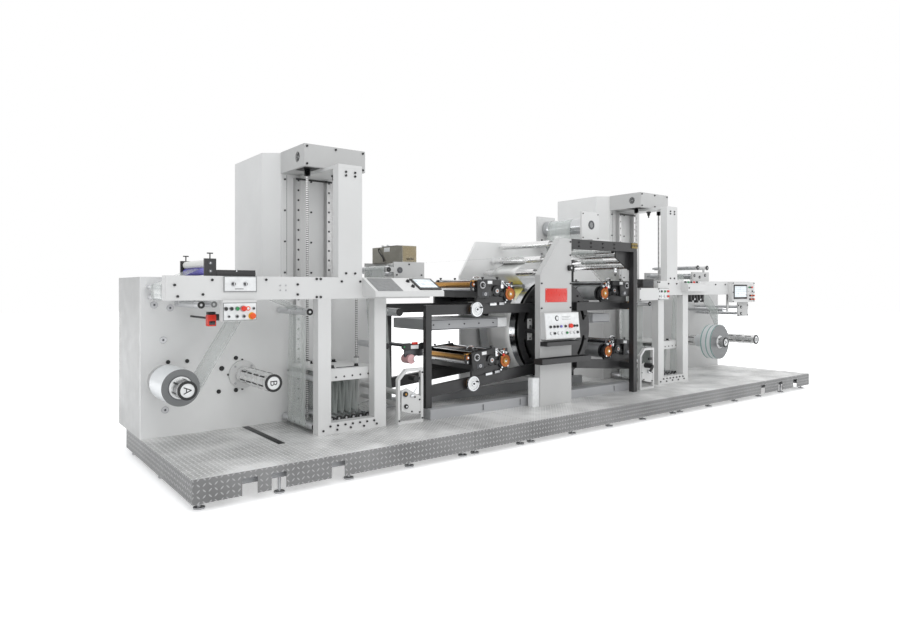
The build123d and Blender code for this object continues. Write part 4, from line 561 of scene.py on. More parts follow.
def repeat(name, form_mesh, places, surface, body, size=1.0):
    """One mesh of the small form at each place, given as a point in mm and the way it faces."""
    points = bpy.data.meshes.new(name + "_points")
    points.from_pydata([at(*p) for p, _ in places], [], [])
    facing = points.attributes.new("facing", "FLOAT_VECTOR", "POINT")
    facing.data.foreach_set("vector", [c for _, way in places for c in Vector(way).normalized()])
    form = bpy.data.objects.new(name + "_form", form_mesh)
    made = bpy.data.objects.new(name, points)
    for thing in (form, made):
        bpy.context.scene.collection.objects.link(thing)
    tree = repeat_tree(surface)
    modifier = made.modifiers.new("repeat", "NODES")
    modifier.node_group = tree
    for item in tree.interface.items_tree:
        if item.item_type == "SOCKET" and item.in_out == "INPUT" and item.name in ("Form", "Size"):
            modifier[item.identifier] = {"Form": form, "Size": size}[item.name]
    bpy.context.view_layer.update()
    mesh = bpy.data.meshes.new_from_object(made.evaluated_get(bpy.context.evaluated_depsgraph_get()))
    made.modifiers.clear()
    made.data = mesh
    mesh.shade_smooth()
    mesh.set_sharp_from_angle(angle=SHARP)
    bpy.data.objects.remove(form)
    bpy.data.meshes.remove(points)
    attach(made, body)
    return made


def small_form(name, profile, sides=10):
    """A turned form in metres about z, for repeating."""
    piece = Piece(name)
    piece.lathe(profile, (0, 0, 0), UP, BLACK_PAINT, sides)
    mesh = bpy.data.meshes.new(name)
    mesh.from_pydata([v / 1000 for v in piece.verts], [], piece.faces)
    return mesh


# heads of 16, 22 and 18 mm across; the first and the last have a socket
CAP_SCREW = small_form("cap_screw", [(0, 4), (4.4, 4), (4.4, 8.4), (7, 9), (8, 8), (8, -0.5), (0, -0.5)], 8)
FLUSH_BOLT = small_form("flush_bolt", [(0, 0.15), (11, 0.15), (11, -SEAT), (0, -SEAT)], 12)
LOW_HEAD = small_form("low_head_screw", [(0, 1.5), (4, 1.5), (4, 3.6), (8, 4), (9, 3), (9, -0.5), (0, -0.5)], 10)


def screws(name, places, surface=BLACK_PAINT, size=1.0, facing=FRONT):
    return repeat(name, CAP_SCREW, [(p, facing) for p in places], surface, MACHINE, size)


def grid(xs, y, zs):
    """Places at each x and each height on one face."""
    return [(x, y, z) for x in xs for z in zs]


def around(x, y, z, r, count, start=0.0):
    """Places spaced evenly round a circle on one face."""
    angles = [start + 2 * math.pi * k / count for k in range(count)]
    return [(x + r * math.cos(a), y, z + r * math.sin(a)) for a in angles]


def in_line(start, step, count, y, z):
    """Places in a level row on one face."""
    return [(start + step * i, y, z) for i in range(count)]


# web
def belt(rollers, sag=0.3):
    """Points in x and z along a web over rollers given as x, z, radius and side (1 over, -1 under)."""
    runs = []
    for (x0, z0, r0, s0), (x1, z1, r1, s1) in zip(rollers[:-1], rollers[1:]):
        dx, dz = x1 - x0, z1 - z0
        gap = math.hypot(dx, dz)
        base = math.atan2(dz, dx)
        swing = math.asin(max(-1, min(1, (s0 * r0 - s1 * r1) / gap)))
        normal = base + math.pi / 2 - swing
        way = (math.cos(normal), math.sin(normal))
        runs.append(((x0 + s0 * r0 * way[0], z0 + s0 * r0 * way[1]), (x1 + s1 * r1 * way[0], z1 + s1 * r1 * way[1])))
    line = [runs[0][0]]
    for (x, z, r, s), (_, reach), (leave, _) in zip(rollers[1:-1], runs[:-1], runs[1:]):
        a = math.atan2(reach[1] - z, reach[0] - x)
        b = math.atan2(leave[1] - z, leave[0] - x)
        sweep = (a - b) % (2 * math.pi) if s > 0 else -((b - a) % (2 * math.pi))
        if abs(sweep) > 1.97 * math.pi:
            sweep = 0.0
        # the chords are short, so that they don't sink into a large roller
        steps = max(2, math.ceil(abs(sweep) / (2 * math.acos(1 - min(sag, r / 4) / r))))
        for k in range(steps + 1):
            angle = a - sweep * k / steps
            line.append((x + r * math.cos(angle), z + r * math.sin(angle)))
    line.append(runs[-1][1])
    return line


def split_runs(line, longest=60.0):
    """The same line with long runs cut shorter."""
    cut = [line[0]]
    for a, b in zip(line[:-1], line[1:]):
        steps = max(1, int(math.dist(a, b) / longest))
        cut += [(a[0] + (b[0] - a[0]) * k / steps, a[1] + (b[1] - a[1]) * k / steps) for k in range(1, steps + 1)]
    return cut


def web(name, line, surface, stretch=None, width=(WEB_FRONT, WEB_BACK)):
    """A strip of the web on its line, drawn 0.4 mm thick."""
    rows = 4
    verts = []
    for x, z in line:
        for k in range(rows + 1):
            verts.append(at(x, width[0] + (width[1] - width[0]) * k / rows, z))
    faces = []
    for i in range(len(line) - 1):
        for k in range(rows):
            a = i * (rows + 1) + k
            faces.append([a, a + 1, a + rows + 2, a + rows + 1])
    mesh = bpy.data.meshes.new(name)
    mesh.from_pydata(verts, [], faces)
    mesh.materials.append(surface)
    mesh.shade_smooth()
    mesh.set_sharp_from_angle(angle=math.radians(50))
    made = bpy.data.objects.new(name, mesh)
    bpy.context.scene.collection.objects.link(made)
    thick = made.modifiers.new("thickness", "SOLIDIFY")
    thick.thickness = 0.0004
    thick.offset = 0.0
    if stretch:
        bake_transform(made)
    else:
        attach(made, MACHINE)
    return made


# the web lies a little off each roller, so its path takes the roller's radius and this
ON = 0.6
LOOP_RADIUS = 30 + ON
LOOP_PITCH = 74
FIRST_LOOP = 190
LOOPS = 6
LAST_LOOP = FIRST_LOOP + (LOOPS - 1) * LOOP_PITCH
LOOP_LOW, LOOP_HIGH = 330, 713
NIP = (353, 1675.5, 0.1, 1)
FIRST_GUIDE = (3967, 1832, 37 + ON, 1)
SECOND_GUIDE = (3854, 1683, 37 + ON, -1)
LAST_GUIDE = (5455, 1780, 32 + ON, 1)

web("infeed_web", belt([(*FILM_REEL, 148 + ON, -1), (711, 1357, 25 + ON, -1), (395, 1378, 25 + ON, -1),
                        (295, 1375, 28 + ON, -1), (74, 1436, 25 + ON, 1), (60, 1522, 20 + ON, 1), NIP]),
    CLEAR_FILM)
for side, x0 in TOWERS.items():
    loops = []
    for i in range(LOOPS):
        loops.append((x0 + FIRST_LOOP + LOOP_PITCH * i, LOOP_LOW, LOOP_RADIUS, -1))
        loops.append((x0 + FIRST_LOOP + LOOP_PITCH * (i + 0.5), LOOP_HIGH, LOOP_RADIUS, 1))
    web(f"{side}_looped_web", split_runs(belt(loops[:-1])), CLEAR_FILM,
        stretch=(MACHINE, f"{side}_lifting_carriage", tuple(at(x0 + 375, 1100, 335)), tuple(at(x0 + 375, 1100, 712))))
    before = NIP if side == "left" else LAST_GUIDE
    web(f"{side}_entry_web", belt([before, (x0 - 22, 1299, LOOP_RADIUS, 1), (x0 + 32, 283, 35 + ON, -1),
                                   (x0 + FIRST_LOOP, LOOP_LOW, LOOP_RADIUS, -1)]),
        CLEAR_FILM)
web("press_infeed_web", belt([(TOWERS["left"] + LAST_LOOP, LOOP_LOW, LOOP_RADIUS, -1), (2143, 390, 22 + ON, -1),
                              (2135, 507, 26 + ON, -1), (2112, 1690, 37 + ON, 1), (2242, 1686.5, 55 + ON, 1),
                              FIRST_GUIDE, SECOND_GUIDE])[:-1],
    CLEAR_FILM)
# two small rollers lay the web on the drum and lift it off, clear of the plate cylinders
LAY_ON_RADIUS = 25
LAY_ON_ACROSS = 388.5
LAY_ON_Z = 1529.2
LAY_ON = [(DRUM_X + side * LAY_ON_ACROSS, LAY_ON_Z, LAY_ON_RADIUS + ON, 1) for side in (-1, 1)]
lay_on = Piece("lay_on_rollers")
for x, z, _, _ in LAY_ON:
    lay_on.rod((x, 905, z), (x, 1320, z), LAY_ON_RADIUS, GROUND_STEEL, sides=32)
    lay_on.rod((x, 1319, z), (x, 1510.3, z), 12, DARK_STEEL, sides=20)
lay_on.done("bare_steel")
DRUM = (DRUM_X, DRUM_Z, 600.3, -1)
web("drum_web", belt([FIRST_GUIDE, SECOND_GUIDE, LAY_ON[0], DRUM, LAY_ON[1]], 0.08), PRINTED_FILM)
web("chill_web", belt([DRUM, LAY_ON[1], (CHILL_X, CHILL_Z, 95 + ON, 1), (5200, 1965, 32 + ON, -1),
                       (5268, 1915, 32 + ON, 1), (5395, 1850, 32 + ON, -1), LAST_GUIDE,
                       (TOWERS["right"] - 22, 1299, LOOP_RADIUS, 1)])[1:-1],
    CLEAR_FILM)
web("rewind_web", belt([(TOWERS["right"] + LAST_LOOP, LOOP_LOW, LOOP_RADIUS, -1), (6920, LOOP_LOW, 1.0, -1),
                        (7050, 1685, 28 + ON, 1), (7180, 1665, 28 + ON, -1), (7320, 1690, 28 + ON, 1),
                        (7950, 1185, 30 + ON, -1), (*FINISHED_ROLL, 257 + ON, 1)]),
    CLEAR_FILM, width=(840, 1004))


# small fittings that repeat
PLATE_FACE = 635.5


def disc(piece, x, y, z, r, thick, surface, way=FRONT, sides=32):
    """A flat disc seated on a face, its outer edge eased."""
    profile = [(0, thick), (r - EASE, thick), (r, thick - EASE), (r, -SEAT), (0, -SEAT)]
    piece.lathe(profile, (x, y, z), way, surface, sides)


def ring(piece, x, y, z, outer, inner, thick, surface, way=FRONT, sides=40):
    """A flat ring seated on a face."""
    profile = [(inner, -SEAT), (inner, thick), (outer - EASE, thick), (outer, thick - EASE), (outer, -SEAT),
               (inner, -SEAT)]
    piece.lathe(profile, (x, y, z), way, surface, sides)


def knob(piece, x, y, z, r, high, surface, way=FRONT):
    """A push button or a mushroom head on its collar."""
    profile = [(0, high), (r * 0.7, high), (r, high - r * 0.3), (r * 0.92, high * 0.5), (r * 0.8, -SEAT),
               (0, -SEAT)]
    piece.lathe(profile, (x, y, z), way, surface, 24)


def tube(piece, centre, inner, outer, length, surface, sides):
    """A thin sleeve along y, from its centre's y backwards."""
    piece.lathe([(inner, 0), (outer, 0), (outer, length), (inner, length), (inner, 0)], centre, BACK, surface, sides)


def stack(piece, x, y, z, *discs):
    """Discs one on another, each given by its radius, thickness and finish."""
    for r, thick, surface in discs:
        disc(piece, x, y, z, r, thick, surface)
        y -= thick


def button_plate(piece, x0, x1, z0, z1):
    """A white plate on a grey gasket, on the front of a button box."""
    piece.block(x0, x1, 637.5, BOX_FACE + SEAT, z0, z1, GREY_MAT, 1)
    piece.block(x0 + 6, x1 - 6, PLATE_FACE, 638, z0 + 6, z1 - 6, WHITE_PLASTIC, 1)


def button(piece, x, z, r, inner, high, surface, collar=GROUND_STEEL):
    """A button in its collar on such a plate."""
    ring(piece, x, PLATE_FACE, z, r + 4, inner, 3, collar)
    knob(piece, x, PLATE_FACE - 3, z, r, high, surface)


# unwinder: wall, beam and shafts
wall = Piece("unwinder_wall_discs")
for x, z in ((108, 1365), (238, 1337), (181, 1061), (197, 456)):
    stack(wall, x, WALL, z, (30, 8, GROUND_STEEL), (9, 3, DARK_STEEL))
wall.done("bare_steel")

plugs = Piece("unwinder_wall_plugs")
for x, z, r in ((221, 869, 17), (380, 867, 17), (683, 779, 22), (813, 866, 19), (656, 571, 19), (813, 570, 19),
                (872, 846, 9), (741, 717, 9), (873, 574, 9)):
    stack(plugs, x, WALL, z, (r, 10, BLACK_PLASTIC), (r * 0.55, 4, BLACK_PLASTIC))
plugs.done("black_plastic")

BEAM_SCREWS = ((65, 1533), (87, 1446), (274, 1460), (345, 1573), (782, 1578), (1059, 1540), (1059, 1455),
               (1235, 1588), (1273, 1588), (1235, 1432), (1273, 1432), (1477, 1568), (1664, 1568))
screws("left_beam_screws", [(x, BEAM_FACE, z) for x, z in BEAM_SCREWS], size=1.3)
screws("right_beam_screws", [(x + RIGHT_SHIFT, BEAM_FACE, z) for x, z in BEAM_SCREWS[7:]]
       + in_line(7300, 260, 3, BEAM_FACE, 1560), size=1.3)
screws("left_beam_small_screws", grid((905, 955), BEAM_FACE, (1492, 1532)), GROUND_STEEL, 0.8)

for body, (x, z, sign) in SHAFTS.items():
    nose = Piece(f"{body}_nose")
    ring(nose, x, 745, z, 75, 55, 12, BLACK_PLASTIC)
    disc(nose, x, 745, z, 55, 7, WHITE_PLASTIC)
    nose.letter(sign, (x - 2, 737.6, z), 88, BLACK_PLASTIC)
    nose.done("black_plastic", body)
    strips = Piece(f"{body}_clamping_strips")
    for i in range(6):
        angle = math.radians(60 * i + 40)
        turn = Matrix.Rotation(angle, 3, "Y")
        for k in range(4):
            out = turn @ Vector((74.2, 0, 0))
            y = 800 + 145 * k
            strips.block(x + out.x - 2.5, x + out.x + 2.5, y, y + 95, z + out.z - 7, z + out.z + 7,
                         BLACK_PLASTIC, 1.0, turn)
    strips.done("black_plastic", body)
    if body != "rewind_spindle_a":
        screws(f"{body}_flange_screws", around(x, 1444, z, 108, 4, math.pi / 4), GROUND_STEEL, 1.2)

reel_end = Piece("film_reel_core")
x, z = FILM_REEL
ring(reel_end, x, WEB_FRONT, z, 90, 75.4, 4, WHITE_PLASTIC)
ring(reel_end, x, WEB_FRONT, z, 97, 90, 1.5, DARK_STEEL)
reel_end.done("white_film", "unwind_spindle_a")
roll_end = Piece("finished_roll_core")
x, z = FINISHED_ROLL
ring(roll_end, x, 833, z, 96, 75.4, 5, WHITE_PLASTIC)
for y in (833.5, 905, 985):
    tube(roll_end, (x, y, z), 257.2, 257.8, 16, TINTED_FILM, 72)
roll_end.done("white_film", "rewind_spindle_a")

# unwinder: panels and sensor
plate = Piece("switch_plate_face")
plate.block(431, 700, 660.5, 664.3, 1478, TABLE, GREY_MAT, 1.0)
plate.block(439, 692, 658.5, 661, 1486, TABLE - 8, WHITE_PLASTIC, 1.0)
for x in (507, 604):
    disc(plate, x, 658.5, 1542, 19, 4, GROUND_STEEL)
    knob(plate, x, 654.5, 1542, 13, 16, BLACK_PLASTIC)
    plate.block(x - 3, x + 3, 634, 640, 1530, 1554, WHITE_PLASTIC, 1.0)
plate.block(520, 590, 657.9, 658.8, 1500, 1505, BLACK_PLASTIC, 0)
plate.done("light_grey_paint")

box = Piece("unwinder_button_panel")
button_plate(box, 419, 690, 1250, 1394)
for x, z, r, high, surface in ((440, 1346, 14, 14, BLACK_PLASTIC), (484, 1346, 14, 14, BLACK_PLASTIC),
                               (531, 1346, 15, 14, GREEN_PLASTIC), (578, 1346, 22, 26, RED_PLASTIC),
                               (664, 1346, 9, 10, BLACK_PLASTIC), (464, 1284, 8, 9, BLACK_PLASTIC)):
    button(box, x, z, r, r * 0.6, high, surface)
button(box, 650, 1286, 25, 15, 30, ORANGE_PLASTIC, YELLOW_PLASTIC)
ring(box, 618, PLATE_FACE, 1346, 18, 11, 5, ORANGE_PLASTIC)
disc(box, 618, PLATE_FACE, 1346, 11, 7, WHITE_PLASTIC)
for x in (528, 583):
    stack(box, x, PLATE_FACE, 1284, (16, 8, GROUND_STEEL), (10, 6, BLACK_PLASTIC))
box.done("light_grey_paint")

eye_piece = Piece("edge_sensor_cover")
eye_piece.block(382, 450, 894, 956, 1198, 1292, RED_PLASTIC, 5)
eye_piece.block(449, 478, 905, 945, 1242, 1296, BLACK_PLASTIC, 3)
eye_piece.block(392, 440, 891, 895, 1210, 1240, SCREEN_GLASS, 1)
eye_piece.done("black_plastic")

ends = Piece("under_table_roller_ends")
for x, z, r, face in ((295, 1375, 28, TABLE_ROLLER_FACE), (711, 1357, 25, TABLE_ROLLER_FACE),
                      (395, 1378, 25, TABLE_ROLLER_FACE), (1228, 1299, 30, LOOP_ROLLER_FACE),
                      (1282, 283, 35, LOOP_ROLLER_FACE), (6150, 1299, 30, LOOP_ROLLER_FACE),
                      (6204, 283, 35, LOOP_ROLLER_FACE)):
    ring(ends, x, face, z, r, 12, 7, BLACK_PLASTIC if x != 395 else GREY_MAT)
    disc(ends, x, TABLE_ROLLER_FACE, z, 11, 4, WHITE_PLASTIC)
ends.done("black_plastic")

blades = Piece("nip_doctor_bar")
blades.block(399, 720, 739, 742.5, 1611, 1640, BLACK_PAINT, 1)
blades.rod((560, 735, 1640), (560, 735, 1662), 7, CHROME)
blades.done("black_paint")
caps = Piece("nip_roller_bearings")
for z in (1644, 1707):
    for y, way in ((742, FRONT), (1420, BACK)):
        disc(caps, 353.5, y, z, 17, 5, DARK_STEEL, way)
        disc(caps, 353.5, y - 5 if y < 1000 else y + 5, z, 7, 3, CHROME, way)
caps.done("bare_steel")
# a black strip on the deck stands for the dark inside of a slot in it: painted shade
slot = Piece("deck_cable_slot")
slot.block(864, 924, 610, 1450, DECK + 0.2, DECK + 2.5, BLACK_PLASTIC, 0.5)
slot.done("black_plastic")

# towers and carriages
CARRIAGE_TOP = 781
PORT_Y, PORT_Z = 1094, 2713
for side, x0 in TOWERS.items():
    carriage = f"{side}_lifting_carriage"
    screws(f"{side}_sill_screws", [(x0 + 116 + 74 * i, BEAM_FACE, 297) for i in range(7)]
           + [(x0 + 48 + 135 * i, BEAM_FACE, 264 - 4 * (i % 2)) for i in range(5)], size=1.2)
    screws(f"{side}_column_screws", grid((x0 + 270, x0 + 362), BEAM_FACE, (1641, 2512, 2545)), size=1.3)
    screws(f"{side}_head_screws", grid((x0 + 26, x0 + 314, x0 + 602), HEAD_FACE, (2634, 2792)), size=1.3)
    repeat(f"{side}_carriage_screws", LOW_HEAD, [((x0 + 230 + 83 * i, 782, 706 + 2 * i), FRONT) for i in range(5)],
           BLACK_PAINT, carriage)
    rail_bolts = grid((x0 + 150, x0 + 476), 1400, range(440, 2560, 96))
    repeat(f"{side}_rail_bolts", FLUSH_BOLT, [(p, FRONT) for p in rail_bolts], BLACK_PAINT, MACHINE)
    screws(f"{side}_back_plate_screws", grid((x0 + 40, x0 + 315, x0 + 590), WALL, range(1660, 2600, 300)), size=1.2)
    caps = Piece(f"{side}_loop_roller_ends")
    for i in range(LOOPS):
        ring(caps, x0 + FIRST_LOOP + LOOP_PITCH * i, LOOP_ROLLER_FACE, LOOP_LOW, 29, 11, 6, BLACK_PLASTIC)
    caps.done("black_plastic")
    tops = Piece(f"{side}_carriage_fittings")
    for dx in SCREW_LINES:
        ring(tops, x0 + dx, SCREW_Y, 836, 26, 13, 5, DARK_STEEL, UP)
    for dx, y in ((230, 860), (480, 860), (230, 1310), (480, 1310)):
        tops.lathe([(0, 26), (15, 26), (19, 22), (19, 6), (28, 4), (28, -SEAT), (0, -SEAT)],
                   (x0 + dx, y, CARRIAGE_TOP), UP, BLACK_PLASTIC, 24)
    tops.block(x0 + 270, x0 + 450, 842, 858, CARRIAGE_TOP - 0.4, CARRIAGE_TOP + 5, DARK_STEEL, 1)
    tops.done("black_plastic", carriage)
    tops = Piece(f"{side}_carriage_side_roller")
    tops.rod((x0 + 43, 800, 700), (x0 + 43, 1376, 700), 24, ROLLER_ALUMINIUM)
    for y in (790, 1376):
        tops.block(x0 + 30, x0 + 70.3, y, y + 10, 684, 730, BLACK_PLASTIC, 1)
    tops.done("roller_aluminium", carriage)
    plug = Piece(f"{side}_hanging_coupling")
    plug.lathe([(0, 0), (9, 0), (9, 30), (20, 34), (20, 62), (31, 68), (31, 112.3), (0, 112.3)],
               (x0 + 375, SCREW_Y, 2499), UP, BLACK_PLASTIC, 24)
    plug.done("black_plastic")
    eye = Piece(f"{side}_web_break_sensor")
    eye.block(x0 + 408, x0 + 468, 796.5, 840, 679, 722, RED_PLASTIC, 3)
    eye.block(x0 + 418, x0 + 458, 840, 852, 690, 712, BLACK_PLASTIC, 1)
    eye.done("black_plastic", carriage)
    bellows = Piece(f"{side}_screw_bellows")
    for dx in SCREW_LINES:
        folds = [(13, 2546)]
        for k in range(6):
            folds += [(33, 2549 + 10.5 * k), (23, 2554 + 10.5 * k)]
        folds += [(30, 2611.3), (13, 2611.3), (13, 2546)]
        bellows.lathe(folds, (x0 + dx, SCREW_Y, 0), UP, INK_RUBBER, 28)
    bellows.done("ink_rubber")
    # a black plate stands for the dark inside of the opening under the head, and a black rod for the shadow gap where
    # the head meets the back wall: both painted shade
    under = Piece(f"{side}_head_opening_and_bar")
    under.block(x0 + 25, x0 + 172, 988, 1196, 2608, 2611.3, BLACK_PLASTIC, 0.5)
    under.rod((x0 + 120, 1388, 2562), (x0 + 500, 1388, 2562), 9, BLACK_PLASTIC)
    under.done("black_plastic")
    port = Piece(f"{side}_head_port_fan")
    port.lathe([(0, 13), (12, 13), (14, 9), (40, 7), (46, 9), (46, -SEAT), (0, -SEAT)], (x0 + 20, PORT_Y, PORT_Z),
               (-1, 0, 0), GREY_MAT, 32)
    for k in range(8):
        turn = Matrix.Rotation(math.pi / 4 * k, 3, "X")
        blade = turn @ Vector((0, 0, 27))
        port.block(x0 + 8.5, x0 + 13, PORT_Y + blade.y - 4, PORT_Y + blade.y + 4, PORT_Z + blade.z - 13,
                   PORT_Z + blade.z + 13, BLACK_PLASTIC, 0.8, turn)
    port.done("black_plastic")
    seams = Piece(f"{side}_housing_seams")
    for dx in (60, 622):
        seams.block(x0 + dx - 1.5, x0 + dx + 1.5, WALL - 1.2, WALL + 0.4, 1640, 2600, DARK_STEEL, 0)
    seams.done("light_grey_paint")


# left console and treater
CONSOLE_REACH, CONSOLE_DROP = 229, 126
SLOPE = math.atan2(CONSOLE_DROP, CONSOLE_REACH)


def console_point(x, share, lift=0.0):
    """A place on the console's sloping face, from its top edge down."""
    y, z = BEAM_FACE - CONSOLE_REACH * share, TABLE - CONSOLE_DROP * share
    return x, y - lift * math.sin(SLOPE), z + lift * math.cos(SLOPE)


def console_slab(piece, x0, x1, top, low, thick, surface, bevel=1.0):
    """A flat slab on the sloping face."""
    corners = ((top, -SEAT), (low, -SEAT), (low, thick), (top, thick))
    piece.prism([console_point(0, share, lift)[1:] for share, lift in corners], x0, x1, surface, bevel, "yz")


tilt = Vector((0, -math.sin(SLOPE), math.cos(SLOPE)))
console = Piece("left_console_mat")
console_slab(console, 1722, 1985, 0.06, 0.97, 4, GREY_MAT)
for k in range(14):
    x = 1734 + 18 * k
    console_slab(console, x, x + 8, 0.09, 0.94, 5.4, GREY_MAT, 0.5)
console.done("black_plastic")
screen = Piece("left_operator_screen")
console_slab(screen, 2180, 2432, 0.1, 0.9, 10, BLACK_PLASTIC, 2)
console_slab(screen, 2204, 2408, 0.17, 0.78, 11, BLUE_SCREEN, 0.5)
for share in (0.28, 0.66):
    screen.lathe([(0, 24), (11, 24), (14, 20), (15, 5), (20, 4), (20, -SEAT), (0, -SEAT)],
                 console_point(2138, share), tilt, BLACK_PLASTIC, 24)
    screen.lathe([(0, 25.5), (7, 25.5), (7, 23), (0, 23)], console_point(2138, share), tilt, CHROME, 16)
screen.done("black_plastic")

treater = Piece("treater_front_cover")
treater.block(2276, 2434, 894, TREATER_FACE + SEAT, 1774, 1925, SMOKED_COVER, 2)
for x in (2328, 2382):
    treater.block(x - 3, x + 3, 880, 895, 1795, 1801, BLACK_PLASTIC, 1)
treater.rod((2318, 880, 1798), (2392, 880, 1798), 5, BLACK_PLASTIC)
treater.done("bare_steel")
labels = Piece("treater_side_plates_and_label")
labels.block(2266.5, 2270.3, 1130, 1235, 1880, 1922, WHITE_PLASTIC, 0.5)
labels.hose([(2264, 1330, 1918), (2256, 1320, 1890), (2262, 1250, 1820), (2262, 1235, 1780)], 7, BLACK_PLASTIC)
for y in (1300, 1400):
    labels.rod((2355, y, 1930.7), (2355, y, 1960), 14, WHITE_PLASTIC)
labels.block(2300, 2410, 1040, 1330, 1930.7, 1941, DARK_STEEL, 2)
labels.done("bare_steel")
screws("treater_plate_screws", [(x, TREATER_FACE, z) for x, z in ((2350, 1745), (2205, 1640), (2500, 1640))])
ends = Piece("treater_roller_ends")
ring(ends, 2112, TREATER_FACE, 1690, 24, 4, 6, BLACK_PLASTIC)
ring(ends, 2242, TREATER_FACE, 1686.5, 30, 6, 6, DARK_STEEL)
ends.done("black_plastic")

# sensor frames at the press
frame_parts = Piece("left_sensor_frame_fittings")
for x, z, r in ((2135, 507, 25), (2143, 390, 21)):
    stack(frame_parts, x, LEFT_FRAME_FACE, z, (r, 16, BLACK_PLASTIC), (r * 0.4, 4, BRASS if z > 400 else CHROME))
frame_parts.rod((2268, 648, 640), (2268, 745, 640), 30, BLACK_PLASTIC)
frame_parts.block(2262, 2316, 655, 668, 628, 652, DARK_STEEL, 1)
frame_parts.block(2196, 2230, 632, 646, 470, 500, CHROME, 3)
frame_parts.rod((2200, 640, 480), (2268, 640, 560), 6, CHROME)
frame_parts.done("black_plastic")
screws("left_sensor_frame_screws",
       [(x, LEFT_FRAME_FACE, z) for x, z in ((2245, 470), (2300, 320), (2210, 335), (2300, 440))]
       + [(x, BOX_FACE, z) for x, z in ((2328, 700), (2328, 262), (2064, 262))])
frame_parts = Piece("right_sensor_frame_fittings")
frame_parts.rod((5735, 470, 530), (5735, 560, 530), 34, BLACK_PLASTIC)
frame_parts.hose([(5735, 480, 530), (5735, 452, 530), (5700, 440, 500), (5668, 440, 470)], 17, BLACK_PLASTIC, 14)
frame_parts.block(5790, 5850, 538, RIGHT_FRAME_FACE, 590, 622, BLACK_PLASTIC, 3)
frame_parts.block(5775, 5835, 534, RIGHT_FRAME_FACE, 425, 470, CHROME, 4)
frame_parts.done("black_plastic")
screws("right_sensor_frame_screws",
       [(x, RIGHT_FRAME_FACE, z) for x, z in ((5870, 320), (5700, 350), (5870, 430), (5660, 440))])

head = Piece("web_sensor_head")
head.prism([(2195, 925), (2225, 972), (2300, 972), (2330, 955), (2400, 955), (2430, 972), (2470, 968), (2500, 930),
            (2480, 900), (2400, 905), (2310, 905), (2240, 895)], 800, 812, BLACK_PAINT, 2)
for x, surface in ((2225, GREEN_PLASTIC), (2468, CHROME)):
    stack(head, x, 800, 936, (26, 6, BLACK_PLASTIC), (9, 4, surface))
head.block(2320, 2385, 792, 812, 956, 978, RED_PLASTIC, 2)
head.block(2305, 2395, 797, 800.4, 912, 948, WHITE_PLASTIC, 1)
head.rod((2300, 780, 815), (2300, 900, 815), 46, CLEAR_PINK)
head.rod((2352, 770, 815), (2352, 900, 815), 34, CHROME)
head.block(2240, 2460, 812, 830, 836, 905, DARK_STEEL, 2)
head.block(2280, 2400, 830, 1470, 925, 945, DARK_STEEL, 2)
head.done("black_paint")
bars = Piece("web_guide_bars_before_press")
for x, z, r, cap in ((2090, 945, 32, 8), (2240, 1270, 40, 9)):
    bars.rod((x, 905, z), (x, WALL, z), r, ROLLER_ALUMINIUM)
    bars.rod((x, 905 - cap, z), (x, 905 + SEAT, z), r - 2, BLACK_PLASTIC)
bars.done("roller_aluminium")


# print units, in distances u along the rail, y back from the front and v square to the rail
RAIL_GAP = 0.3
COVER_FACE, BOSS_FACE, CHEEK_FACE, REAR_CHEEK_FACE = 684, 701, 725, 1442
# the plate cylinder's axis, and the outline of the plates that carry the fountain roller
CYLINDER = (450, 105)
PLATE_END = [(-74, 150), (-30, 128), (4, 128), (4, 236), (-60, 240), (-76, 222)]


def unit_matrix(level, side):
    """From distances along the rail, back and square to the rail, to millimetres on the machine."""
    start = UNIT_START + (LOWER_SHIFT if level == "lower" else 0)
    if level == "upper":
        place = Matrix.Translation((start, 0, UPPER_RAIL_TOP + RAIL_GAP))
    else:
        top = LOWER_RAIL_TOP + (start - LOWER_RAIL_X) * math.tan(RAIL_ANGLE)
        place = Matrix.Translation((start, 0, top + RAIL_GAP)) @ Matrix.Rotation(-RAIL_ANGLE, 4, "Y")
    if side == "right":
        place = Matrix.Translation((2 * DRUM_X, 0, 0)) @ Matrix.Scale(-1, 4, (1, 0, 0)) @ place
    return place


def unit_cover(name, body, place):
    """The black box on the unit's front plate, with its register dial and label."""
    cover = Piece(name)
    cover.prism([(-18, 66), (168, 66), (168, 203), (310, 203), (310, 248), (298, 258), (-6, 258), (-18, 246)],
                COVER_FACE, COVER_FACE + 15, BLACK_PAINT, 3)
    for u, v in ((22, 222), (155, 240), (290, 230), (15, 200)):
        cover.rod((u, COVER_FACE + 14, v), (u, CHEEK_FACE + SEAT, v), 9, DARK_STEEL)
    for u, v in ((-4, 82), (150, 82), (150, 190), (296, 216)):
        disc(cover, u, COVER_FACE, v, 6, 4, BLACK_PLASTIC, sides=12)
    ring(cover, 45, COVER_FACE, 200, 37, 25, 10, GROUND_STEEL)
    knob(cover, 45, COVER_FACE, 200, 24, 24, BLACK_PLASTIC)
    cover.block(38, 52, 655, 661, 197, 203, CHROME, 1)
    cover.block(118, 182, 682.2, COVER_FACE + SEAT, 213, 246, WHITE_PLASTIC, 0.5)
    cover.block(40, 130, 680, COVER_FACE + SEAT, 84, 128, DARK_STEEL, 2)
    ring(cover, 85, 680, 106, 17, 8, 6, GROUND_STEEL)
    cover.placed(place)
    cover.done("black_paint", body)


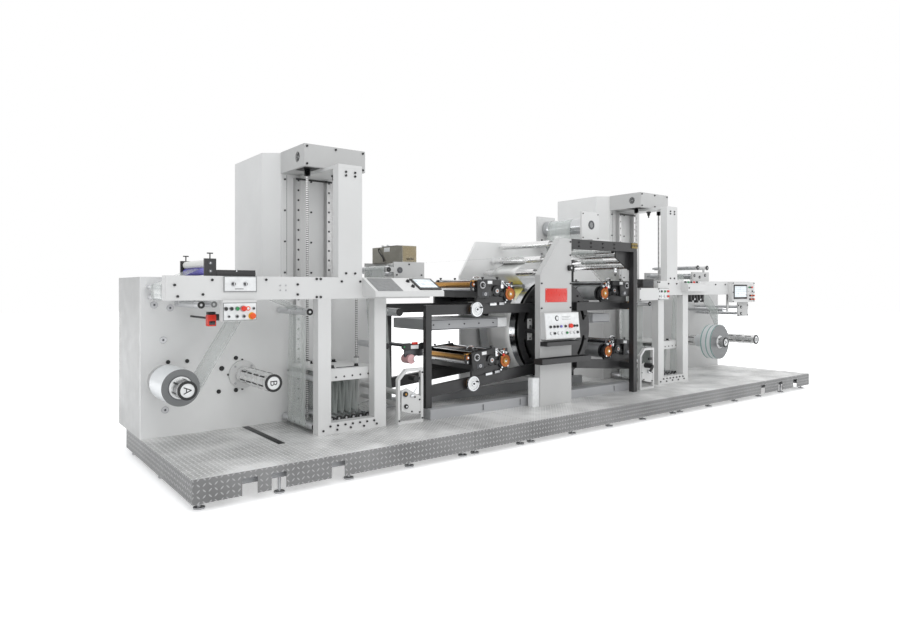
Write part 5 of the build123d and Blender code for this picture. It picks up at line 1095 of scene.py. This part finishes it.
def unit_fittings(name, body, place, front):
    """Fountain roller and the rod below it between end plates, and the ink keys along them."""
    trough = Piece(name)
    trough.rod((-45, front + 15, 207), (-45, REAR_CHEEK_FACE, 207), 25, BRASS, sides=32)
    trough.rod((-40, front + 15, 158), (-40, REAR_CHEEK_FACE, 158), 20, ROLLER_ALUMINIUM, sides=28)
    for y in (front, REAR_CHEEK_FACE):
        trough.prism(PLATE_END, y, y + 15, BLACK_PAINT, 2)
    stack(trough, -45, front, 207, (22, 12, COPPER_TINT), (10, 6, CHROME))
    disc(trough, -40, front, 158, 14, 8, CHROME)
    trough.block(-66, 2, front - 10, front + 25, 236, 250, BRASS, 2)
    for k in range(14):
        y = 830 + 44 * k
        trough.rod((12.3, y, 172), (-12, y, 172), 5, CHROME, sides=10)
        trough.rod((-8, y, 172), (-16, y, 172), 9, BLACK_PLASTIC, sides=12)
    trough.placed(place)
    trough.done("bare_steel", body)


def unit_nose(name, body, place, clamps):
    """Bearing caps, throw-off lever and clamps round the plate cylinder's end, and, if asked, rail clamps."""
    nose = Piece(name)
    ring(nose, CYLINDER[0], BOSS_FACE, CYLINDER[1], 66, 36, 6, COPPER_TINT)
    stack(nose, CYLINDER[0], BOSS_FACE, CYLINDER[1], (33, 12, BRASS), (14, 5, CHROME))
    stack(nose, 262.6, BOSS_FACE, 138, (24, 7, GROUND_STEEL), (9, 5, COPPER_TINT))
    disc(nose, 179.9, CHEEK_FACE, 123.4, 13, 6, CHROME)
    for u, v, r, surface in ((500, 132, 13, COPPER_TINT), (482, 46, 12, CHROME), (405, 150, 12, BRASS),
                             (400, 40, 10, CHROME)):
        disc(nose, u, 704.7, v, r, 9, surface, sides=20)
    nose.block(330, 372, 712, 726, 165, 250, CHROME, 3)
    nose.rod((351, 706, 232), (420, 700, 176), 6, CHROME)
    knob(nose, 424, 697, 173, 14, 16, RED_PLASTIC)
    nose.block(372, 452, 716, CHEEK_FACE + SEAT, 168, 192, DARK_STEEL, 2)
    if clamps:
        nose.block(170, 262, 703, 714, -16, 12, CHROME, 2)
        nose.block(300, 372, 703, 714, -12, 16, GROUND_STEEL, 2)
        nose.rod((386, 700, 16), (386, 716, 16), 11, CHROME, sides=16)
    nose.block(384, 446, 690, 702, 214, 224, CHROME, 2)
    for u, v, r, surface in ((396, 218, 13, BLACK_PLASTIC), (430, 200, 11, CHROME), (444, 228, 9, COPPER_TINT),
                             (470, 190, 12, WHITE_PLASTIC), (500, 176, 10, BLACK_PLASTIC)):
        nose.rod((u, 692, v), (u, CHEEK_FACE + SEAT if u < 400 else 712, v), r, surface, sides=18)
    nose.block(428, 506, 712, 718, 168, 236, DARK_STEEL, 2)
    for y in (738, 1472):
        nose.block(392, 430, y - 8, y + 8, 159.7, 182, CHROME, 2)
    nose.placed(place)
    nose.done("chrome", body)


def unit_hood(name, body, place, sleeve):
    """Copper-faced rider sleeve, the curved handle and bars above the rollers, and, if asked, bright sleeves
    on the plate cylinder."""
    hood = Piece(name)
    if sleeve:
        for along in (0, 330):
            tube(hood, (CYLINDER[0], 793 + along, CYLINDER[1]), 85.1, 85.7, 300, GROUND_STEEL, 72)
    tube(hood, (218.6, 788, 214.2), 32.1, 32.7, 640, COPPER_TINT, 40)
    hood.hose([(100, 900, 255), (100, 900, 280), (140, 900, 292), (180, 900, 280), (180, 900, 255)], 7, CHROME)
    hood.block(80, 200, 885, 915, 243, 258, BLACK_PAINT, 2)
    for u, v, r, sides in ((345, 236, 11, 24), (60, 246, 9, 24), (445, 196.5, 5, 12)):
        hood.rod((u, 755.3, v), (u, 1459.7, v), r, CHROME, sides=sides)
    hood.placed(place)
    hood.done("chrome", body)


for level in ("upper", "lower"):
    for side in ("left", "right"):
        body = f"{level}_{side}_print_unit"
        place = unit_matrix(level, side)
        unit_cover(f"{level}_{side}_unit_cover", body, place)
        unit_fittings(f"{level}_{side}_fountain_roller", body, place, 727 if side == "left" else 800)
        unit_nose(f"{level}_{side}_unit_nose_fittings", body, place, side == "left")
        unit_hood(f"{level}_{side}_rider_sleeve", body, place, side == "right")
        wheel = f"{level}_{side}_handwheel"
        x, z = HANDWHEELS[level]
        x = x if side == "left" else 2 * DRUM_X - x
        face = Piece(f"{wheel}_face")
        ring(face, x, 657.8, z, 62, 25.2, 4, WHITE_PLASTIC)
        stack(face, x, 650, z, (24, 6, CHROME), (11, 5, BLACK_PLASTIC))
        face.rod((x + 40, 654, z + 20), (x + 40, 620, z + 20), 8, BLACK_PLASTIC)
        face.done("chrome", wheel)
        collar = Piece(f"{wheel}_collar")
        collar.lathe([(25.2, 0), (52, 0), (56, 3), (56, 31), (53, 35), (25.2, 35)], (x, 678, z), BACK, BRASS, 36)
        collar.done("chrome", wheel)

# press post and its panel
post = Piece("press_post_plate_and_knob")
post.block(3872, 4220, 500.8, POST_FACE + SEAT, 1354, 1505, RED_ENAMEL, 1.5)
for x, y, z in grid((3884, 4208), 500.8, (1366, 1493)):
    disc(post, x, y, z, 5, 3, GROUND_STEEL, sides=12)
for x, y, z in around(4250, 503, 1735, 20, 4, math.pi / 4):
    post.rod((x, y, z), (x, 470, z), 17, BLACK_PLASTIC, 5)
post.rod((4250, POST_FACE + SEAT, 1735), (4250, 466, 1735), 24, BLACK_PLASTIC, 3)
disc(post, 4250, 466, 1735, 12, 4, CHROME)
post.done("black_plastic")
screws("press_post_screws", grid((3815, 4272), POST_FACE, (1290, 1560, 1880, 2030)), size=1.2)

# y and z of the leaning panel's lower and upper edge
PANEL_LOW, PANEL_HIGH = (430, 952), (460, 1239)
PLATE_THICK = 2.0
LEAN = math.atan2(PANEL_HIGH[0] - PANEL_LOW[0], PANEL_HIGH[1] - PANEL_LOW[1])
panel_way = Vector((0, -math.cos(LEAN), math.sin(LEAN)))


def panel_y(z, lift=0.0):
    return PANEL_LOW[0] + (z - PANEL_LOW[1]) * math.tan(LEAN) - lift


def panel_slab(piece, x0, x1, z0, z1, thick, surface, bevel=0.5):
    """A flat slab on the press panel's leaning face."""
    corners = ((z0, -SEAT), (z1, -SEAT), (z1, thick), (z0, thick))
    piece.prism([(panel_y(z, lift), z) for z, lift in corners], x0, x1, surface, bevel, "yz")


def panel_knob(piece, x, z, r, high, surface):
    """A button in its collar on the panel's white plate."""
    ring(piece, x, panel_y(z, PLATE_THICK), z, r + 4, r * 0.5, 3, GROUND_STEEL, panel_way, 24)
    knob(piece, x, panel_y(z, PLATE_THICK + 3), z, r, high, surface, panel_way)


panel = Piece("press_control_panel")
panel_slab(panel, 3821, 4347, 962, 1229, PLATE_THICK, WHITE_PLASTIC)
dial = (3998, panel_y(1179, PLATE_THICK), 1179)
panel.lathe([(0, 5), (20, 5), (26, 4), (30, -SEAT), (0, -SEAT)], dial, panel_way, BLACK_PLASTIC, 40)
panel.lathe([(0, 8), (18, 8), (20, 4.5), (0, 4.5)], dial, panel_way, WHITE_PLASTIC, 40)
for k, x1 in enumerate((4215, 4190, 4215)):
    panel_slab(panel, 4080, x1, 1193 - 16 * k, 1197 - 16 * k, 2.4, GREY_MAT, 0)
UPPER_BUTTONS = ((3884, BLACK_PLASTIC), (3943, BLACK_PLASTIC), (3994, BLACK_PLASTIC), (4051, VIOLET_PLASTIC),
                 (4121, BLACK_PLASTIC), (4263, BLACK_PLASTIC), (4308, BLACK_PLASTIC))
LOWER_BUTTONS = ((3889, WHITE_PLASTIC), (3943, BLACK_PLASTIC), (4005, WHITE_PLASTIC), (4068, WHITE_PLASTIC),
                 (4138, GREEN_PLASTIC), (4200, WHITE_PLASTIC), (4263, WHITE_PLASTIC), (4312, BLACK_PLASTIC))
for row, z in ((UPPER_BUTTONS, 1088), (LOWER_BUTTONS, 1016)):
    for x, surface in row:
        panel_knob(panel, x, z, 14, 16, surface)
panel_knob(panel, 4200, 1090, 26, 30, RED_PLASTIC)
panel.done("white_film")

latch = Piece("drum_disc_latch")
latch.block(3862, 3932, 768, DRUM_DISC_FACE + SEAT, 925, 1165, LIGHT_GREY, 2)
latch.block(3880, 3918, 757, 769, 1020, 1092, CHROME, 2)
for z in (945, 1145):
    disc(latch, 3897, 768, z, 9, 6, BLACK_PLASTIC, sides=16)
latch.done("light_grey_paint")

# a pale cover over the dark box at the post's foot
box_cover = Piece("junction_box_cover")
box_cover.block(3692, 3794.5, 517, 588, DECK - 0.5, DECK + 312, WHITE_PLASTIC, 3)
box_cover.done("light_grey_paint")
screws("drum_disc_screws", around(DRUM_X, DRUM_DISC_FACE, DRUM_Z, 540, 12, math.pi / 12), size=1.4)

ends = Piece("press_roller_ends")
for x, z in ((5200, 1965), (5268, 1915), (5395, 1850), (5455, 1780)):
    ring(ends, x, 650, z, 31, 11, 5, BLACK_PLASTIC)
for x, z, *_ in (FIRST_GUIDE, SECOND_GUIDE):
    ring(ends, x, LOOP_ROLLER_FACE, z, 34, 13, 4, BLACK_PLASTIC)
ends.done("black_plastic")
bearing = Piece("chill_roller_bearing")
ring(bearing, CHILL_X, CHILL_FACE, CHILL_Z, 54, 31, 3, DARK_STEEL)
bearing.done("bare_steel")
journal = Piece("chill_roller_end_cap")
disc(journal, CHILL_X, CHILL_FACE, CHILL_Z, 29, 2, GREY_MAT)
journal.done("bare_steel", "chill_roller")
screws("chill_frame_screws", grid((4680, 4948), CHILL_FACE, (2110, 2395)), size=0.9)
bracket = Piece("gantry_pole_bracket")
bracket.block(5378, 5496, 496, POST_FACE + SEAT, 1998, 2062, AGED_BRASS, 2)
for x in (5392, 5437, 5482):
    disc(bracket, x, 496, 2030, 10, 7, DARK_STEEL, sides=16)
bracket.done("bare_steel")
strut = Piece("hanger_strut_block")
strut.block(5094, 5138, 538, 546, 1700, 1748, CHROME, 2)
strut.block(5100, 5132, 538, 546, 1655, 1680, BLACK_PLASTIC, 1)
strut.done("bare_steel")
screws("gantry_beam_screws", in_line(4420, 210, 4, POST_FACE, 2032) + in_line(4420, 210, 4, POST_FACE, 1986),
       size=1.2)
blocks = Piece("cable_box_covers")
blocks.block(3468, 3598, 826, CABLE_BOX_FACE + 0.4, 1088, 1184, WHITE_PLASTIC, 1)
for x0, x1, z in ((2562, 3462, 1086), (2562, 3462, 1178), (5045, 5357, 1086)):
    blocks.block(x0, x1, 828, CABLE_BOX_FACE + 0.4, z, z + 6, DARK_STEEL, 0.5)
blocks.done("light_grey_paint")
screws("cable_box_screws", in_line(2600, 200, 5, CABLE_BOX_FACE, 1136), size=0.9)

# rewinder: button panel, screen, roller ends and tilted console
panels = Piece("rewinder_button_panel")
button_plate(panels, 6094, 6359, 1358, 1504)
RIGHT_BUTTONS = ((1466, (BLACK_PLASTIC, BLACK_PLASTIC, GREEN_PLASTIC, RED_PLASTIC)),
                 (1400, (BLACK_PLASTIC, WHITE_PLASTIC, WHITE_PLASTIC, RED_PLASTIC)))
for z, row in RIGHT_BUTTONS:
    for share, surface in zip((0.12, 0.36, 0.62, 0.86), row):
        button(panels, 6088 + 277 * share, z, 15, 8, 22 if surface is RED_PLASTIC else 14, surface)
panels.block(5850, 6085, 680, 770, 1509.7, 1625, BLACK_PAINT, 3)
for k in range(9):
    panels.block(5868 + 22 * k, 5878 + 22 * k, 677.5, 680.3, 1530, 1605, DARK_STEEL, 0.5)
panels.block(5700, 5785, 697, 700.3, 1400, 1450, SCREEN_GLASS, 1)
panels.done("light_grey_paint")
screws("rewinder_box_screws", grid((5684, 6076), CONSOLE_FACE, (1364, 1498)))

rewinder = Piece("rewinder_operator_screen")
rewinder.block(7930, 8316, 595, CONSOLE_FACE + SEAT, 1345, 1560, BLACK_PLASTIC, 3)
rewinder.block(7956, 8290, 593, 596, 1376, 1536, BLUE_SCREEN, 1)
for k in range(6):
    knob(rewinder, 8372 + 44 * (k % 3), CONSOLE_FACE, 1520 - 60 * (k // 3), 14, 14,
         (GREEN_PLASTIC, BLACK_PLASTIC, RED_PLASTIC, WHITE_PLASTIC, WHITE_PLASTIC, BLACK_PLASTIC)[k])
for x, z in ((8392, 1395), (8470, 1395), (8470, 1340), (8392, 1340)):
    rewinder.rod((x, CONSOLE_FACE + SEAT, z), (x, 574, z), 13, BLACK_PLASTIC)
    rewinder.rod((x, 574, z), (x, 560, z), 11, ORANGE_PLASTIC)
rewinder.done("black_plastic")
screws("rewinder_console_screws", grid((7918, 8519), CONSOLE_FACE, (1313, 1447, 1582)))

caps = Piece("winder_roller_ends")
for x, y, z, outer, inner, high in ((7200, 735, 1800, 34, 10, 4), (7440, 735, 1800, 34, 10, 4),
                                    (8324, 700, 1219, 22, 8, 4), (8324, 700, 1122, 22, 8, 4),
                                    (7050, 692, 1685, 20, 8, 3), (7180, 692, 1665, 20, 8, 3),
                                    (7320, 692, 1690, 20, 8, 3)):
    stack(caps, x, y, z, (outer, 8, BLACK_PLASTIC), (inner, high, CHROME))
caps.done("black_plastic")
screws("outfeed_hanger_screws", grid((8252, 8519), HANGER_FACE, (1094, 1246, 1398)))

console = Piece("tilted_console_fittings")
# y and z of the tilted console's upper and lower edge
TILT_TOP, TILT_LOW = (672, 1600), (560, 1556)
tip = math.atan2(TILT_TOP[1] - TILT_LOW[1], TILT_TOP[0] - TILT_LOW[0])
tip_way = Vector((0, -math.sin(tip), math.cos(tip)))
for k, surface in enumerate((BLACK_PLASTIC, GREEN_PLASTIC, BLACK_PLASTIC, RED_PLASTIC, BLACK_PLASTIC,
                             WHITE_PLASTIC)):
    centre = (6730 + 70 * k, 630, TILT_TOP[1] - (TILT_TOP[0] - 630) * math.tan(tip))
    console.lathe([(0, 20), (11, 20), (14, 16), (15, 4), (20, 3), (20, -SEAT), (0, -SEAT)], centre, tip_way,
                  surface, 24)
disc(console, 6712, 560, 1511, 10, 6, BLACK_PLASTIC)
console.done("black_paint")


# the back, plain as it isn't seen: doors with louvres and a handle, covers and bearing caps
def seam_frame(piece, x0, x1, y, z0, z1):
    """A thin dark gap line round a door or cover on a face turned to the back."""
    for a, b, c, d in ((x0, x1, z0, z0 + 3), (x0, x1, z1 - 3, z1), (x0, x0 + 3, z0, z1), (x1 - 3, x1, z0, z1)):
        piece.block(a, b, y - SEAT, y + 0.6, c, d, DARK_STEEL, 0)


doors = Piece("rear_cabinet_doors")
for x0, x1, count in ((0, 2420, 4), (6035, 9000, 5)):
    width = (x1 - x0) / count
    for k in range(count):
        left, right = x0 + width * k + 18, x0 + width * (k + 1) - 18
        seam_frame(doors, left, right, CABINET_BACK, 262, 1580)
        doors.block(right - 62, right - 38, CABINET_BACK - SEAT, CABINET_BACK + 8, 860, 1010, BLACK_PLASTIC, 3)
        for j in range(7):
            doors.block(left + 130, right - 130, CABINET_BACK - SEAT, CABINET_BACK + 4, 330 + 26 * j, 340 + 26 * j,
                        DARK_STEEL, 1)
for x0 in TOWERS.values():
    seam_frame(doors, x0 - 115, x0 + 797, CABINET_BACK, 1640, 2780)
doors.done("black_plastic")
screws("tower_cover_screws", grid([x0 + dx for x0 in TOWERS.values() for dx in (-95, 341, 777)], CABINET_BACK,
                                  (1660, 2210, 2760)), facing=BACK)
hub = Piece("drum_rear_bearing_cap")
ring(hub, DRUM_X, REAR_FRAME_BACK, DRUM_Z, 150, 72, 14, DARK_STEEL, BACK, 56)
disc(hub, DRUM_X, REAR_FRAME_BACK, DRUM_Z, 72.5, 6, GROUND_STEEL, BACK, 48)
hub.done("bare_steel")
screws("drum_rear_cap_screws", around(DRUM_X, REAR_FRAME_BACK + 14, DRUM_Z, 128, 8), facing=BACK, size=1.4)
screws("rear_frame_screws", grid((3560, 5080), REAR_FRAME_BACK, (300, 700, 1300, 1700)), facing=BACK, size=1.4)

under = Piece("under_table_fittings")
for k, (x, z) in enumerate(((7085, 1330), (7160, 1352), (7235, 1318), (7310, 1345), (7385, 1325))):
    under.block(x - 22, x + 22, 760, 800, z - 18, BEAM_LOW + SEAT, BLACK_PAINT, 2)
    disc(under, x, 760, z, 15, 10, CHROME if k % 2 else BLACK_PLASTIC)
under.done("black_paint")

# camera
# the lens, in pixels of a picture 900 wide, and how far its centre stands from the picture's
PHOTO_WIDTH = 900
LENS_PIXELS, SHIFT_PIXELS = 654, -32.5
SENSOR = 36.0
eye = bpy.data.cameras.new("photo_camera")
eye.sensor_width = SENSOR
eye.lens = LENS_PIXELS / PHOTO_WIDTH * SENSOR
eye.shift_y = SHIFT_PIXELS / PHOTO_WIDTH
eye.clip_end = 100.0
camera = bpy.data.objects.new("photo_camera", eye)
camera.location = (-5.798, -5.6845, 1.510)
camera.rotation_euler = (math.pi / 2, 0, -math.radians(37.575))
bpy.context.scene.collection.objects.link(camera)
bpy.context.scene.camera = camera

# floor, lamps, world
scene = bpy.context.scene
scene.view_settings.view_transform = "Standard"


def seen_white(tree, plain, white):
    """Mixes in plain white for what the camera, gloss and glass see."""
    path = add(tree, "ShaderNodeLightPath", {})
    seen = add(tree, MATH, (path["Is Camera Ray"], path["Is Glossy Ray"]), operation="MAXIMUM")[0]
    seen = add(tree, MATH, (seen, path["Is Transmission Ray"]), operation="MAXIMUM")[0]
    return add(tree, "ShaderNodeMixShader", (seen, plain, white))[0]


world = bpy.data.worlds.new("studio")
world.use_nodes = True
scene.world = world
tree = world.node_tree
tree.nodes.clear()
soft = add(tree, "ShaderNodeBackground", {"Color": colour("#f2f4f6"), "Strength": 0.95})[0]
white = add(tree, "ShaderNodeBackground", {"Color": (1, 1, 1, 1), "Strength": 1.0})[0]
add(tree, "ShaderNodeOutputWorld", {"Surface": seen_white(tree, soft, white)})

floor_mesh = bpy.data.meshes.new("studio_floor")
floor_mesh.from_pydata([(-40, -40, 0), (40, -40, 0), (40, 40, 0), (-40, 40, 0)], [], [[0, 1, 2, 3]])
floor = bpy.data.objects.new("studio_floor", floor_mesh)
scene.collection.objects.link(floor)
pale = bpy.data.materials.new("pale_studio_floor")
pale.use_nodes = True
tree = pale.node_tree
tree.nodes.clear()
matt = add(tree, "ShaderNodeBsdfDiffuse", {"Color": colour("#fbfbfb")})[0]
# the floor glows more away from the machine, so that it fades into the white background
place = add(tree, "ShaderNodeTexCoord", {})["Object"]
from_middle = add(tree, "ShaderNodeVectorMath", (place,), operation="LENGTH")["Value"]
strength = add(tree, SPAN, (from_middle, 4.5, 9.0, 0.42, 1.2))["Result"]
glow = add(tree, "ShaderNodeEmission", {"Color": (1, 1, 1, 1), "Strength": strength})[0]
lifted = add(tree, "ShaderNodeAddShader", (matt, glow))[0]
add(tree, "ShaderNodeOutputMaterial", {"Surface": seen_white(tree, matt, lifted)})
floor_mesh.materials.append(pale)


def softbox(name, place, target, width, height, power):
    lamp = bpy.data.lights.new(name, "AREA")
    lamp.shape = "RECTANGLE"
    lamp.size = width
    lamp.size_y = height
    lamp.energy = power
    thing = bpy.data.objects.new(name, lamp)
    thing.location = place
    thing.rotation_euler = (Vector(target) - Vector(place)).to_track_quat("-Z", "Y").to_euler()
    scene.collection.objects.link(thing)


softbox("key_softbox", (-3.0, -9.0, 6.5), (0, 0, 1.0), 7.0, 4.0, 170)
softbox("right_softbox", (9.0, -6.0, 5.0), (1.0, 0, 1.0), 5.0, 4.0, 80)
softbox("top_softbox", (0.0, 0.0, 8.0), (0, 0, 0), 9.0, 3.0, 150)
